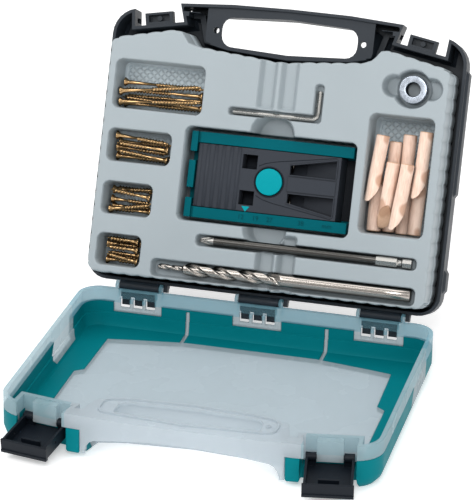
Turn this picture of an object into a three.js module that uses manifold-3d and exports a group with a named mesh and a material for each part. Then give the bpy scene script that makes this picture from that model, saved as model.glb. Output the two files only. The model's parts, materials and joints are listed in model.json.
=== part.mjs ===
// Pocket-hole dowel jig kit: a hinged carry case with a clear lower half, a dark half that holds a
// formed insert, and in the insert the jig, its drill, driver, stop collar, key, screws and oblique dowels.
//
// Row frame: millimetres, +X right along the hinge, +Y towards the hinge, +Z up. The origin is the
// centre of the underside of the clear half. The case stands open, as it is used.
//
// Both halves are drawn in the "case frame": u across, d from the rear rim to the front,
// w from the parting plane towards the clear half. The clear half fills w > 0, the dark half w < 0.
import * as THREE from "three";
import { mergeVertices } from "three/addons/utils/BufferGeometryUtils.js";
import Module from "manifold-3d";

const wasm = await Module();
wasm.setup();

// ---- driving dimensions ----
const CASE_HALF_WIDTH = 126.8;
const CASE_FRONT = 192.3;
const HANDLE_FRONT = 201.6;
const TRAY_DEPTH = 31;
const SHELL_DEPTH = 26;
const REAR_Y = 98;
const OPEN_ANGLE = 113;
const HINGE_D = -2.9;
const HINGE_W = -1.2;
const HINGE_PITCH = 86.8;
const HINGE_CENTRES = [-HINGE_PITCH, 0, HINGE_PITCH];
const HINGE_BAR_R = 1.8;
const HINGE_KNUCKLE_R = 3.6;
const HINGE_RUN = 0.35;
const FINGER_PITCH = 9.2;
const EAR_INSIDE = 14.8;
const EAR_WIDTH = 2.2;
const GRIP_FLARE = 13.5;
const PIN_HOLE_U = 52.7;

const BAND = 10;
const GAP = 0.3;
const BOWL_WALL = 3;
const SLIT_U = 50;
const SLIT_HALF_WIDTH = 1.4;
const HINGE_NOTCH_HALF = 17.6;
const WALL_LEDGE = 18.4;
const SHELL_WALL = 2.2;
const FLOOR_STEP = 27.6;

const LATCH_U = 93.7;
const LATCH_D = 182.5;
const LATCH_SLANT = 10.1;
const LATCH_AXIS_OUT = 3.2;
const LATCH_AXIS_W = 13;
const LATCH_HALF_WIDTH = 15.6;
const BLOCK_U = 67.5;
const LATCH_LENGTH = 32;
const LATCH_PLATE_OUT = 7.8;
const LATCH_OPEN_ANGLE = 98;
const BOSS_HALF_WIDTH = 8.5;
const BOSS_NOTCH_HALF = 17.6;
const LATCH_STUB_R = 1.6;
const LATCH_STUB_REACH = 3;

const INSERT_TOP = 23.7;
const INSERT_BASE = -23.9;
const INSERT_WALL = 1.6;
const BIN_FLOOR = -0.5;
const DOWEL_BIN_FLOOR = -9.2;

const JIG_CENTRE_D = 80.2;
const JIG_TOP = 17.5;
const JIG_BASE = -9.7;
const JIG_PLATE = 3.5;
const GUIDE_OFFSET = 12.8;
const GUIDE_SLOPE = 12;
const GUIDE_START_U = 15.5;
const GUIDE_START_W = 7.3;
const BUTTON_U = 1.6;
const BUTTON_R = 9.3;
const SPRING_R = 4.2;
const SPRING_TURNS = 4;
const SPRING_HEIGHT = 10.2;
const SPRING_WIRE_R = 0.45;

const DRILL_R = 4.5;
const PILOT_R = 1.9;
const DRILL_LENGTH = 179.8;
const DRILL_AXIS = [13.8, 19.3];
const DRIVER_AXIS = [35.2, 20.1];
const DRIVER_R = 3.1;
const HEX_FLAT = 6.35;
const COLLAR_CENTRE = [95, 153.7];
const COLLAR_R = 9.6;
const COLLAR_BORE_R = 5.1;
const COLLAR_MID_W = 15.2;
const KEY_FLAT = 3;
const KEY_W = 20.2;

const SCREW_HEAD_R = 2.9;
const SCREW_THREAD_R = 1.7;
const SCREW_SHANK_R = 1.25;
const SCREW_LAYERS = [2.9, 7.7, 12.5];

const DOWEL_R = 4.6;
const DOWEL_LENGTH = 47;
const DOWEL_CUT = 17;

const CYLINDER_SIDES = 24;
const CORNER_STEPS = 7;
const MIN_CORNER_R = 0.25;
const WELD = 1e-4;

// ---- solids: three.js geometry in, manifold joins and cuts, three.js geometry out ----
function solidFrom(geometry) {
  const bare = new THREE.BufferGeometry();
  bare.setAttribute("position", geometry.getAttribute("position").clone());
  if (geometry.index) bare.setIndex(geometry.index.clone());
  const merged = mergeVertices(bare, WELD);
  return new wasm.Manifold(
    new wasm.Mesh({
      numProp: 3,
      vertProperties: new Float32Array(merged.attributes.position.array),
      triVerts: new Uint32Array(merged.index.array),
    }),
  );
}

function geometryFrom(solid) {
  const mesh = solid.getMesh();
  const geometry = new THREE.BufferGeometry();
  geometry.setAttribute("position", new THREE.BufferAttribute(mesh.vertProperties, 3));
  geometry.setIndex(new THREE.BufferAttribute(mesh.triVerts, 1));
  geometry.computeVertexNormals();
  return geometry;
}

const join = (...solids) => solids.reduce((whole, piece) => whole.add(piece));
const cut = (whole, ...tools) => tools.reduce((rest, tool) => rest.subtract(tool), whole);

function box([x0, x1], [y0, y1], [z0, z1]) {
  const geometry = new THREE.BoxGeometry(x1 - x0, y1 - y0, z1 - z0);
  geometry.translate((x0 + x1) / 2, (y0 + y1) / 2, (z0 + z1) / 2);
  return solidFrom(geometry);
}

// A round bar between two points.
function bar(from, to, radius, sides = CYLINDER_SIDES) {
  const start = new THREE.Vector3(...from);
  const end = new THREE.Vector3(...to);
  const axis = end.clone().sub(start);
  const geometry = new THREE.CylinderGeometry(radius, radius, axis.length(), sides);
  const turn = new THREE.Quaternion().setFromUnitVectors(new THREE.Vector3(0, 1, 0), axis.normalize());
  geometry.applyQuaternion(turn);
  geometry.translate(...start.add(end).multiplyScalar(0.5).toArray());
  return solidFrom(geometry);
}

const toShape = (points) => new THREE.Shape(points.map(([x, y]) => new THREE.Vector2(x, y)));

// A straight prism over a plan outline, from z0 to z1.
function prism(points, z0, z1) {
  const geometry = new THREE.ExtrudeGeometry(toShape(points), { depth: z1 - z0, bevelEnabled: false });
  geometry.translate(0, 0, z0);
  return solidFrom(geometry);
}

// A prism whose profile is drawn in (y, z) and which runs along x.
function prismAlongX(points, x0, x1) {
  const geometry = new THREE.ExtrudeGeometry(toShape(points), { depth: x1 - x0, bevelEnabled: false });
  geometry.rotateZ(Math.PI / 2);
  geometry.rotateY(Math.PI / 2);
  geometry.translate(x0, 0, 0);
  return solidFrom(geometry);
}

// A solid through stacked loops of equal point count: each loop is [plan points, height].
function loft(loops) {
  const count = loops[0][0].length;
  const positions = loops.flatMap(([points, z]) => points.flatMap(([x, y, lift = 0]) => [x, y, z + lift]));
  const faces = [];
  for (let level = 0; level < loops.length - 1; level += 1) {
    for (let i = 0; i < count; i += 1) {
      const a = level * count + i;
      const b = level * count + ((i + 1) % count);
      faces.push(a, b, b + count, a, b + count, a + count);
    }
  }
  const capOf = (points) =>
    THREE.ShapeUtils.triangulateShape(points.map(([x, y]) => new THREE.Vector2(x, y)), []);
  const top = (loops.length - 1) * count;
  capOf(loops[0][0]).forEach(([a, b, c]) => faces.push(c, b, a));
  capOf(loops.at(-1)[0]).forEach(([a, b, c]) => faces.push(top + a, top + b, top + c));
  const geometry = new THREE.BufferGeometry();
  geometry.setAttribute("position", new THREE.Float32BufferAttribute(positions, 3));
  geometry.setIndex(faces);
  return solidFrom(geometry);
}

// ---- outlines: corners are [x, y, radius, arc steps], listed counterclockwise ----
function cornerFrame(corners, i) {
  const [x, y] = corners[i];
  const before = corners.at(i - 1);
  const after = corners[(i + 1) % corners.length];
  const into = new THREE.Vector2(x - before[0], y - before[1]).normalize();
  const out = new THREE.Vector2(after[0] - x, after[1] - y).normalize();
  return { into, out, turn: Math.atan2(into.cross(out), into.dot(out)) };
}

// Moves every edge inwards by t; outer corner radii shrink and inner ones grow.
function inset(corners, t) {
  return corners.map(([x, y, r = 0, steps = 1], i) => {
    const { into, out, turn } = cornerFrame(corners, i);
    const scale = t / (1 + into.dot(out));
    const moved = [x - (into.y + out.y) * scale, y + (into.x + out.x) * scale];
    const radius = r > 0 ? Math.max(r - Math.sign(turn) * t, MIN_CORNER_R) : 0;
    return [...moved, radius, steps];
  });
}

function rounded(corners) {
  return corners.flatMap(([x, y, r = 0, steps = 1], i) => {
    if (!r) return [[x, y]];
    const { into, turn } = cornerFrame(corners, i);
    const side = Math.sign(turn);
    const reach = r * Math.tan(Math.abs(turn) / 2);
    const start = [x - into.x * reach, y - into.y * reach];
    const centre = [start[0] - into.y * r * side, start[1] + into.x * r * side];
    const from = Math.atan2(start[1] - centre[1], start[0] - centre[0]);
    return Array.from({ length: steps + 1 }, (_, k) => {
      const angle = from + (turn * k) / steps;
      return [centre[0] + r * Math.cos(angle), centre[1] + r * Math.sin(angle)];
    });
  });
}

const mirrored = (corners) => corners.map(([x, ...rest]) => [-x, ...rest]).reverse();
const circle = ([x, y], r, sides = CYLINDER_SIDES) =>
  Array.from({ length: sides }, (_, k) => {
    const angle = (2 * Math.PI * k) / sides;
    return [x + r * Math.cos(angle), y + r * Math.sin(angle)];
  });
const rectangle = ([x0, x1], [y0, y1], r) =>
  [[x1, y0], [x1, y1], [x0, y1], [x0, y0]].map((corner) => [...corner, r, 3]);

// The main body without its front handle.
const BODY_OUTLINE = [
  [CASE_HALF_WIDTH, 0, 15, CORNER_STEPS],
  [CASE_HALF_WIDTH, CASE_FRONT, 19, CORNER_STEPS],
  [-CASE_HALF_WIDTH, CASE_FRONT, 19, CORNER_STEPS],
  [-CASE_HALF_WIDTH, 0, 15, CORNER_STEPS],
];
const LATCH_NOTCH = [[76, 185.7], [111.3, 179.4], [116.4, 230], [89.2, 230]];
const NOTCHES = [LATCH_NOTCH, mirrored(LATCH_NOTCH)];

// The handle: its plan, and the block of space that the storage curves round.
const HANDLE_HALF = [[90, 150], [90, 197.9], [79.8, 198.5, 2, 2], [42, 201]];
const HANDLE_OUTLINE = [...HANDLE_HALF, [0, HANDLE_FRONT], ...mirrored(HANDLE_HALF)];
const HANDLE_SPACE_HALF = [[44, 171.5], [61.5, 175.4], [66, 191.2], [66, 230]];
const HANDLE_SPACE = [[0, 168.3], ...HANDLE_SPACE_HALF, ...mirrored(HANDLE_SPACE_HALF)];

// A skin through [inset, height] levels, less the notches, which grow by a share of each inset.
function skin(base, notches, levels, growth = 1) {
  const stack = (corners, share, ends) => loft(ends.map(([t, w]) => [rounded(inset(corners, share * t)), w]));
  const [bottom, top] = [levels[0], levels.at(-1)];
  const taller = [[bottom[0], bottom[1] - 1], ...levels, [top[0], top[1] + 1]];
  return cut(stack(base, 1, levels), ...notches.map((corners) => stack(corners, -growth, taller)));
}

// The full rim: sides, latch recesses and the handle.
const caseSkin = (levels) => join(skin(BODY_OUTLINE, NOTCHES, levels), skin(HANDLE_OUTLINE, NOTCHES, levels));

// The part that stores things: sides, latch recesses and the curved wall behind the handle.
const storageSkin = (levels, growth) => skin(BODY_OUTLINE, [...NOTCHES, HANDLE_SPACE], levels, growth);

const HANDLE_HALF_HOLLOW = [[59.2, 173.4], [65, 193.3], [77.4, 193.3], [77.6, 196.5, 1, 1], [42, 198.8]];
const HANDLE_HOLLOW = [
  [0, 166.5],
  [43.8, 169.8],
  ...HANDLE_HALF_HOLLOW,
  [0, HANDLE_FRONT - 2],
  ...mirrored(HANDLE_HALF_HOLLOW),
  [-43.8, 169.8],
];

// The grip opening, which widens sideways by `flare` towards the back of the dark half.
function gripOutline(flare = 0) {
  const half = [[48.5 + flare, 171.8, 8, 4], [49 + flare, 191.8, 8, 4]];
  return [[0, 169.4], ...half, [0, 194.4], ...mirrored(half)];
}

// ---- the clear half ----
const latchSides = [-1, 1];

// Places a solid drawn at a latch: x along the recess, y outwards, z along w.
function atLatch(solid, side, out = 0, w = 0) {
  return solid
    .rotate([0, 0, -side * LATCH_SLANT])
    .translate([
      side * (LATCH_U + out * Math.sin(THREE.MathUtils.degToRad(LATCH_SLANT))),
      LATCH_D + out * Math.cos(THREE.MathUtils.degToRad(LATCH_SLANT)),
      w,
    ]);
}

// The coloured walls run through the full wall thickness, so the clear half and its coloured
// bumper are cut from one bowl along this region.
function colouredRegion(clearance) {
  const top = BAND + GAP - clearance;
  const region = storageSkin([[-clearance, top], [-clearance, TRAY_DEPTH + 1]]);
  const patch = inset(SIDE_PATCH, clearance);
  const hingeNotches = HINGE_CENTRES.map((c) => hingeNotch(c, clearance));
  const halfSlit = SLIT_HALF_WIDTH - clearance;
  const slits = [-SLIT_U, SLIT_U].map((u) =>
    box([u - halfSlit, u + halfSlit], [-5, 40], [BAND + 1.4 + clearance, 60]));
  const bossNotches = latchSides.map((side) => {
    const half = BOSS_NOTCH_HALF - clearance;
    return atLatch(box([-half, half], [-4, 10], [0, 17.4 - clearance]), side);
  });
  const middle = 65 - clearance;
  return cut(
    region,
    prism(rounded(inset(FLOOR_WINDOW, clearance)), 20, 60),
    box([-middle, middle], [150, 250], [0, 60]),
    prismAlongX(patch, -200, 200),
    ...hingeNotches,
    ...slits,
    ...bossNotches,
  );
}

function hingeNotch(centre, clearance) {
  const half = HINGE_NOTCH_HALF - clearance;
  return box([centre - half, centre + half], [-5, 12], [0, 17.5 - clearance]);
}

const NOTCH_GROWTH = 0.3;
const bowlLevels = [[0, 0], [0, 22], [1.6, 27], [5.2, TRAY_DEPTH]];

const trayHollow = () =>
  storageSkin([
    [BOWL_WALL, -1],
    [BOWL_WALL, WALL_LEDGE],
    [BOWL_WALL + 0.9, WALL_LEDGE + 0.2],
    [BOWL_WALL + 1.2, 22],
    [BOWL_WALL + 2, 26],
    [BOWL_WALL + 3, FLOOR_STEP],
  ]);

// The front wall of the handle: arched up at the middle, with a foot at each end.
function trayHandleFront() {
  const wall = cut(
    caseSkin([[0, BAND - 1], [0, 25], [1, 27]]),
    box([-200, 200], [-50, 192.6], [0, 40]),
    box([BLOCK_U, 200], [150, 250], [0, 40]),
    box([-200, -BLOCK_U], [150, 250], [0, 40]),
  );
  const arch = Array.from({ length: 9 }, (_, k) => {
    const across = -1 + k / 4;
    return [58 * across, 11.3 + 5 * across * across];
  });
  const foot = [[61, 18], [63.2, 21], [64.2, 24.5], [64.4, 60]];
  const below = prism([...arch, ...foot, ...mirrored(foot)], -250, -150).rotate([90, 0, 0]);
  return cut(wall, below);
}

function hingeWindow(centre) {
  const width = 7.1;
  return join(
    ...[-FINGER_PITCH, 0, FINGER_PITCH].map((offset) => {
      const u = centre + offset;
      return box([u - width / 2, u + width / 2], [-10, 8], [7, 14.3]);
    }),
  );
}

// A round bar on the hinge axis.
const hingeBar = (u0, u1, radius) => bar([u0, HINGE_D, HINGE_W], [u1, HINGE_D, HINGE_W], radius);

// Two ears outside the knuckle, and the bar that runs between them.
function hingeEars(centre) {
  const ear = (u0) =>
    join(hingeBar(u0, u0 + EAR_WIDTH, 3.2), box([u0, u0 + EAR_WIDTH], [HINGE_D - 1.5, 1.5], [0, 7]));
  const outer = EAR_INSIDE + EAR_WIDTH;
  const axle = hingeBar(centre - outer, centre + outer, HINGE_BAR_R);
  return join(ear(centre - outer), ear(centre + EAR_INSIDE), axle);
}

const hingeRelief = (centre) =>
  hingeBar(centre - EAR_INSIDE, centre + EAR_INSIDE, HINGE_KNUCKLE_R + 0.5);

function latchBoss(side) {
  const block = box([-BOSS_HALF_WIDTH, BOSS_HALF_WIDTH], [-1.5, 5.6], [1, 15.4]);
  const socket = (x0, x1) =>
    bar([x0, LATCH_AXIS_OUT, LATCH_AXIS_W], [x1, LATCH_AXIS_OUT, LATCH_AXIS_W], LATCH_STUB_R + 0.35);
  const deep = BOSS_HALF_WIDTH - LATCH_STUB_REACH;
  const mouth = BOSS_HALF_WIDTH + 1;
  return atLatch(cut(block, socket(-mouth, -deep), socket(deep, mouth)), side);
}

function gripRidge() {
  const outer = [[0, 165.8], [40, 167.8], [59.5, 172.2, 8, 3], [59.5, 191.5, 7, 3], [0, 195.6]];
  const loop = [...outer, ...mirrored(outer.slice(1, -1))];
  const ring = cut(prism(rounded(loop), -1.6, 1), prism(rounded(inset(loop, 1.6)), -2, 2));
  const locatorBar = (w0, w1, radius) => bar([PIN_HOLE_U, 181.6, w0], [PIN_HOLE_U, 181.6, w1], radius, 12);
  return join(ring, cut(locatorBar(-1.4, 1, 1.8), locatorBar(-2, 0, 0.9)));
}

function clearTray() {
  const band = caseSkin([[0, 0], [0, BAND]]);
  const bowl = cut(storageSkin(bowlLevels, NOTCH_GROWTH), colouredRegion(GAP));
  const hollowed = cut(
    join(band, bowl, trayHandleFront()),
    trayHollow(),
    prism(rounded(HANDLE_HOLLOW), 2, 60),
    prism(rounded(gripOutline()), -5, 60),
    ...HINGE_CENTRES.map(hingeRelief),
    ...HINGE_CENTRES.map(hingeWindow),
  );
  return join(hollowed, gripRidge(), ...HINGE_CENTRES.map(hingeEars), ...latchSides.map(latchBoss));
}

// ---- the coloured bumper: the side, rear and corner walls of the lower body ----
const WINDOW_HALF = [
  [47, 18.5],
  [86, 24.6],
  [101.5, 27.5],
  [102.5, 78.5],
  [108.5, 83],
  [108.5, 150],
  [65, 172],
  [65, 200],
];
const FLOOR_WINDOW = [...WINDOW_HALF, ...mirrored(WINDOW_HALF)];
const SIDE_PATCH = [[35, 8], [77.5, 8], [85, 21], [79, 26.4], [37.5, 26.4]];

// A coloured block between each latch recess and the handle, flush with the front of the handle.
function bumperBlock(side) {
  const plan = [[BLOCK_U + GAP, 189], [75, 189], [77.6, 198.4, 1, 2], [BLOCK_U + GAP, 199.2, 1, 2]];
  const inner = rounded(inset(plan, 0.8));
  const block = loft([[rounded(plan), BAND + GAP], [rounded(plan), 26], [inner, 27.4]]);
  return side > 0 ? block : block.mirror([1, 0, 0]);
}

function bumper() {
  const walls = storageSkin(bowlLevels, NOTCH_GROWTH).intersect(colouredRegion(0));
  return cut(join(walls, ...latchSides.map(bumperBlock)), trayHollow());
}

// ---- latches: drawn closed, x along the recess, y outwards, z from the pivot towards the dark half ----
function latchClosed() {
  const half = LATCH_HALF_WIDTH;
  const plate = box([-half, half], [LATCH_PLATE_OUT - 1.8, LATCH_PLATE_OUT], [-1.5, LATCH_LENGTH]);
  const wide = half + 0.8;
  const lip = box([-wide, wide], [-0.9, LATCH_PLATE_OUT], [LATCH_LENGTH - 1.9, LATCH_LENGTH]);
  const beadOut = [LATCH_PLATE_OUT - 1.6, LATCH_PLATE_OUT + 0.4];
  const bead = box([-wide, wide], beadOut, [LATCH_LENGTH - 2, LATCH_LENGTH + 0.7]);
  const cheek = (x0) => box([x0, x0 + 1.6], [-1.2, LATCH_PLATE_OUT], [-1.5, LATCH_LENGTH]);
  const peepHoles = bar([-half - 1, 3, 17.5], [half + 1, 3, 17.5], 1, 12);
  const knuckle = (x0, x1) =>
    join(bar([x0, 0, 0], [x1, 0, 0], 2.9), box([x0, x1], [0, LATCH_PLATE_OUT], [-1.5, 1.5]));
  const stub = (x0, x1) => bar([x0, 0, 0], [x1, 0, 0], LATCH_STUB_R);
  const inside = BOSS_HALF_WIDTH + 0.4;
  const catchRib = box([-6.7, 6.7], [LATCH_PLATE_OUT - 6.1, LATCH_PLATE_OUT - 1], [21, 22.5]);
  const closed = join(
    plate,
    lip,
    bead,
    cheek(-half),
    cheek(half - 1.6),
    knuckle(-half, -inside),
    knuckle(inside, half),
    stub(-inside - 1, 2.4 - inside),
    stub(inside - 2.4, inside + 1),
    catchRib,
  );
  return cut(closed, peepHoles);
}

// ---- the dark half ----
function lug(side) {
  const body = box([-10, 10], [-1.5, 8.4], [-7, -1]);
  const recess = box([-7.5, 7.5], [1.8, 6.8], [-5.6, 0]);
  const core = bar([0, 4.2, -6.5], [0, 4.2, -2.6], 1.9, 16);
  return atLatch(join(cut(body, recess), core), side);
}

// Each hinge block: a bored knuckle on the clear half's bar, and a fingered stop tongue behind it.
function hingeKnuckle(centre) {
  const half = 14.2;
  const knuckle = hingeBar(centre - half, centre + half, HINGE_KNUCKLE_R);
  const block = box([centre - half, centre + half], [-6.5, 1], [-9, HINGE_W - 1.5]);
  const stopBlock = box([centre + 17.3, centre + 20], [-5, 1], [-7, -1.5]);
  const stopFoot = box([centre + 13, centre + 20], [-2, 1], [-8, -5.8]);
  return join(knuckle, block, tongue(centre, half - 1), stopBlock, stopFoot);
}

function tongue(centre, half) {
  const open = THREE.MathUtils.degToRad(OPEN_ANGLE);
  const along = [-Math.sin(open), Math.cos(open)];
  const back = [-Math.cos(open), -Math.sin(open)];
  const corner = (run, out) => [
    HINGE_D + along[0] * run + back[0] * out,
    HINGE_W + along[1] * run + back[1] * out,
  ];
  const slab = (u0, u1, run0, run1) =>
    prismAlongX([corner(run0, -2.4), corner(run1, -2.4), corner(run1, -0.8), corner(run0, -0.8)], u0, u1);
  const fingers = [-FINGER_PITCH, 0, FINGER_PITCH].map((offset) =>
    slab(centre + offset - 3.1, centre + offset + 3.1, 7, 14));
  return join(slab(centre - half, centre + half, 1.5, 8), ...fingers);
}

// Shallow raised pads along the two sides, each level [height, swell] over the side wall.
function shellPads() {
  const levels = [[-21, 1], [-14, 2], [-6, 1.6], [-3.5, -0.6]];
  const root = CASE_HALF_WIDTH - 1;
  const pad = (d0, d1) =>
    loft(levels.map(([w, swell]) => {
      const face = CASE_HALF_WIDTH + swell;
      return [[[root, d0], [face, d0 + 3], [face, d1 - 3], [root, d1]], w];
    }));
  const right = join(pad(83, 172), pad(16, 34));
  return join(right, right.mirror([1, 0, 0]));
}

// The grip opening through the dark half, straight at the web and flared behind it.
function gripTunnel(t, [w0, w1]) {
  const loop = (flare) => rounded(inset(gripOutline(flare), t));
  return loft([[loop(GRIP_FLARE), w0], [loop(GRIP_FLARE), -24], [loop(0), -4.5], [loop(0), w1]]);
}

// Room where the wall between the handle and the storage hollow is lowered.
function loweredWall() {
  const half = [[56, 171], [66, 171], [73, 184], [73, 192.9], [56, 192.9]];
  return join(prism(half, -15, 1), prism(mirrored(half), -15, 1));
}

// A slot through one side wall of each latch recess.
const recessSlot = (side) => atLatch(box([-21, 0], [3, 6.5], [-20, -8]), side);

function darkShell() {
  const outside = caseSkin([[4.2, -SHELL_DEPTH], [1.5, -24.2], [0.5, -20], [0, -1], [0, -GAP]]);
  const inside = 1.8 - SHELL_DEPTH;
  const storage = storageSkin([[SHELL_WALL + 2.5, inside], [SHELL_WALL + 0.4, inside + 3], [SHELL_WALL, 1]]);
  const web = prism(rounded(HANDLE_HOLLOW), -4.5, -2.5).intersect(box([-60, 60], [150, 220], [-10, 0]));
  const gripWall = cut(gripTunnel(-2, [0.5 - SHELL_DEPTH, -2.5]), box([-200, 200], [100, 168], [-40, 10]));
  const pinHoles = [-PIN_HOLE_U, PIN_HOLE_U].map((u) => bar([u, 182.2, -40], [u, 182.2, 0], 2.2, 16));
  const hollowed = cut(
    join(outside, shellPads()),
    storage,
    cut(prism(rounded(HANDLE_HOLLOW), inside, 1), box([-46, 46], [150, 172], [-40, -2.5])),
    box([-61.5, 61.5], [160, 176], [-2.5, 1]),
    loweredWall(),
    ...latchSides.map(recessSlot),
  );
  const built = join(hollowed, web, gripWall, ...latchSides.map(lug));
  const hingeBores = HINGE_CENTRES.map((c) => hingeBar(c - 20, c + 16, HINGE_BAR_R + HINGE_RUN));
  const earRoom = HINGE_CENTRES.flatMap((c) => [c - 17.4, c + 14.4].map((u) => hingeBar(u, u + 2.9, 3.7)));
  return cut(
    join(built, ...HINGE_CENTRES.map(hingeKnuckle)),
    gripTunnel(0, [-40, 10]),
    ...pinHoles,
    ...hingeBores,
    ...earRoom,
  );
}

// ---- the formed insert ----
const INSERT_HALF = [
  [120.3, 4.8, 9, 3],
  [120.6, 169.2, 4, 2],
  [71.6, 180, 5, 2],
  [64.5, 169.8, 5, 2],
  [45, 167.2],
];
const INSERT_OUTLINE = [...INSERT_HALF, [0, 163.3], ...mirrored(INSERT_HALF)];

// Every pocket: plan outline, floor height and wall draft.
const POCKETS = [
  { plan: rectangle([-114.9, -50.6], [120.4, 154.8], 5), floor: BIN_FLOOR, draft: 0.8 },
  { plan: rectangle([-114.9, -69.3], [83, 106.2], 5), floor: BIN_FLOOR, draft: 0.8 },
  { plan: rectangle([-114.7, -78.8], [46, 69.2], 5), floor: BIN_FLOOR, draft: 0.8 },
  { plan: rectangle([-114.6, -82.9], [10.2, 32.8], 5), floor: BIN_FLOOR, draft: 0.8 },
  { plan: rectangle([68.2, 113.3], [52.6, 135], 5), floor: DOWEL_BIN_FLOOR, draft: 1.2 },
  { plan: rectangle([-60, 61.8], [47.4, 113.2], 5), floor: JIG_BASE - GAP, draft: 1.2 },
  { plan: rectangle([-74.3, 112.7], [6.3, 19], 3), floor: 13.2, draft: 0.8 },
  { plan: rectangle([-44.4, 111.5], [30.6, 39.3], 3), floor: 15.6, draft: 0.6 },
  { plan: rectangle([-31.5, 34.4], [123.3, 129.5], 2.5), floor: 17.4, draft: 0.4 },
  { plan: rectangle([27.9, 34.4], [123.3, 150.8], 2.5), floor: 17.4, draft: 0.4 },
  { plan: circle(COLLAR_CENTRE, 13.4).map((p) => [...p, 0, 1]), floor: 9.8, draft: 1.2 },
  { plan: rectangle([74, 116], [146.8, 162.6], 7.8), floor: 12, draft: 1.5 },
  { plan: circle([1.4, 112.5], 15.5, 20).map((p) => [...p, 0, 1]), floor: 10.5, draft: 3 },
  { plan: circle([3.3, 47.8], 15.5, 20).map((p) => [...p, 0, 1]), floor: 10.5, draft: 3 },
  { plan: rectangle([-12.5, 0.3], [129, 190], 2), floor: 19.6, draft: 1.5 },
  { plan: rectangle([2.7, 15.5], [129, 190], 2), floor: 19.6, draft: 1.5 },
  { plan: rectangle([-1, 12.5], [-20, 45], 2), floor: 17.2, draft: 1.5 },
  { plan: rectangle([14, 27.5], [-20, 45], 2), floor: 17.2, draft: 1.5 },
];

const pocketHollow = ({ plan, floor, draft }) =>
  loft([[rounded(inset(plan, draft)), floor], [rounded(plan), INSERT_TOP], [rounded(plan), INSERT_TOP + 2]]);

const pocketWall = ({ plan, floor, draft }) =>
  loft([
    [rounded(inset(plan, draft - INSERT_WALL)), floor - INSERT_WALL],
    [rounded(inset(plan, -INSERT_WALL)), INSERT_TOP],
  ]);

function insertTray() {
  const outline = (t) => rounded(inset(INSERT_OUTLINE, t));
  const body = loft([
    [outline(3), INSERT_BASE],
    [outline(0), INSERT_BASE + 7],
    [outline(0), INSERT_TOP - 1.2],
    [outline(1.1), INSERT_TOP],
  ]);
  const hollow = loft([
    [outline(INSERT_WALL + 3.5), INSERT_BASE - 1],
    [outline(INSERT_WALL), INSERT_BASE + 7],
    [outline(INSERT_WALL), INSERT_TOP - INSERT_WALL],
  ]);
  const walls = join(...POCKETS.map(pocketWall)).intersect(body);
  return cut(join(cut(body, hollow), walls), ...POCKETS.map(pocketHollow));
}

// ---- the jig ----
const jigPlan = (u, off) => [u, off.map((v) => JIG_CENTRE_D + v)];

function guidePoint(u) {
  const rise = Math.tan(THREE.MathUtils.degToRad(GUIDE_SLOPE));
  return GUIDE_START_W + (u - GUIDE_START_U) * rise;
}

const guideBar = (side, u0, u1, radius) =>
  bar(
    [u0, JIG_CENTRE_D + side * GUIDE_OFFSET, guidePoint(u0)],
    [u1, JIG_CENTRE_D + side * GUIDE_OFFSET, guidePoint(u1)],
    radius,
  );

function jigBlock(u, off, w) {
  return box(...jigPlan(u, off), w);
}

function jigBase() {
  const floorTop = JIG_BASE + JIG_PLATE;
  const plate = jigBlock([-56.5, 59], [-29.9, 29.9], [JIG_BASE, floorTop]);
  const rails = [-1, 1].map((side) =>
    jigBlock([-50, 59], side > 0 ? [22.4, 29.9] : [-29.9, -22.4], [JIG_BASE, JIG_TOP]));
  const fenceWall = jigBlock([-56.5, -52], [-29.9, 29.9], [JIG_BASE, 5]);
  const fenceBlocks = [[-29.9, -16.4], [-9.3, 9.6], [16, 29.9]].map((off) =>
    jigBlock([-56.5, -52], off, [JIG_BASE, JIG_TOP]));
  const fenceTies = [[-29.9, -22.4], [22.4, 29.9]].map((off) =>
    jigBlock([-56.5, -49], off, [JIG_BASE, 15.5]));
  const grooves = jigBlock([-51.9, 70], [-24, 24], [-6.3, -2.1]);
  const exits = [-1, 1].map((side) => guideBar(side, -80, -24, 5.4));
  return cut(
    join(plate, ...rails, fenceWall, ...fenceBlocks, ...fenceTies),
    grooves,
    ...exits,
  );
}

// The wedge-shaped lead-in ahead of each guide, widening away from the centre line.
function trough(side) {
  const near = side * 6.6;
  const narrow = side * 12.9;
  const wide = side * 19.2;
  const order = side > 0 ? (p) => p : (p) => p.slice().reverse();
  const plan = order([[15.4, near], [47.8, near], [47.8, wide], [15.4, narrow]]);
  const lifted = plan.map(([u, v]) => [u, JIG_CENTRE_D + v, u > 20 ? 7 : 0]);
  return loft([[lifted, 2.6], [plan.map(([u, v]) => [u, JIG_CENTRE_D + v]), JIG_TOP + 1]]);
}

function jigSlider() {
  const body = jigBlock([-50.5, 50.7], [-21.9, 21.9], [-5.8, JIG_TOP - 0.3]);
  const flanges = jigBlock([-50.5, 50.7], [-23.5, 23.5], [-5.8, -2.6]);
  const windows = [-1, 1].map((side) =>
    jigBlock([-18.6, -8.1], side > 0 ? [7.6, 17.5] : [-17.5, -7.6], [-1, JIG_TOP]));
  const well = bar([BUTTON_U, JIG_CENTRE_D, 12.9], [BUTTON_U, JIG_CENTRE_D, 30], BUTTON_R + 0.5, 32);
  const springWell = bar([BUTTON_U, JIG_CENTRE_D, 1.2], [BUTTON_U, JIG_CENTRE_D, 14], 5.3);
  const sleeveBores = [-1, 1].map((side) => guideBar(side, -8.5, 24, 6.7));
  const drillPaths = [-1, 1].map((side) => guideBar(side, -80, 0, 5.2));
  const troughs = [-1, 1].map(trough);
  return cut(join(body, flanges), ...windows, well, springWell, ...sleeveBores, ...drillPaths, ...troughs);
}

const guideSleeve = (side) => cut(guideBar(side, -7.6, 13.6, 6.4), guideBar(side, -30, 30, 4.9));

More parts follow.
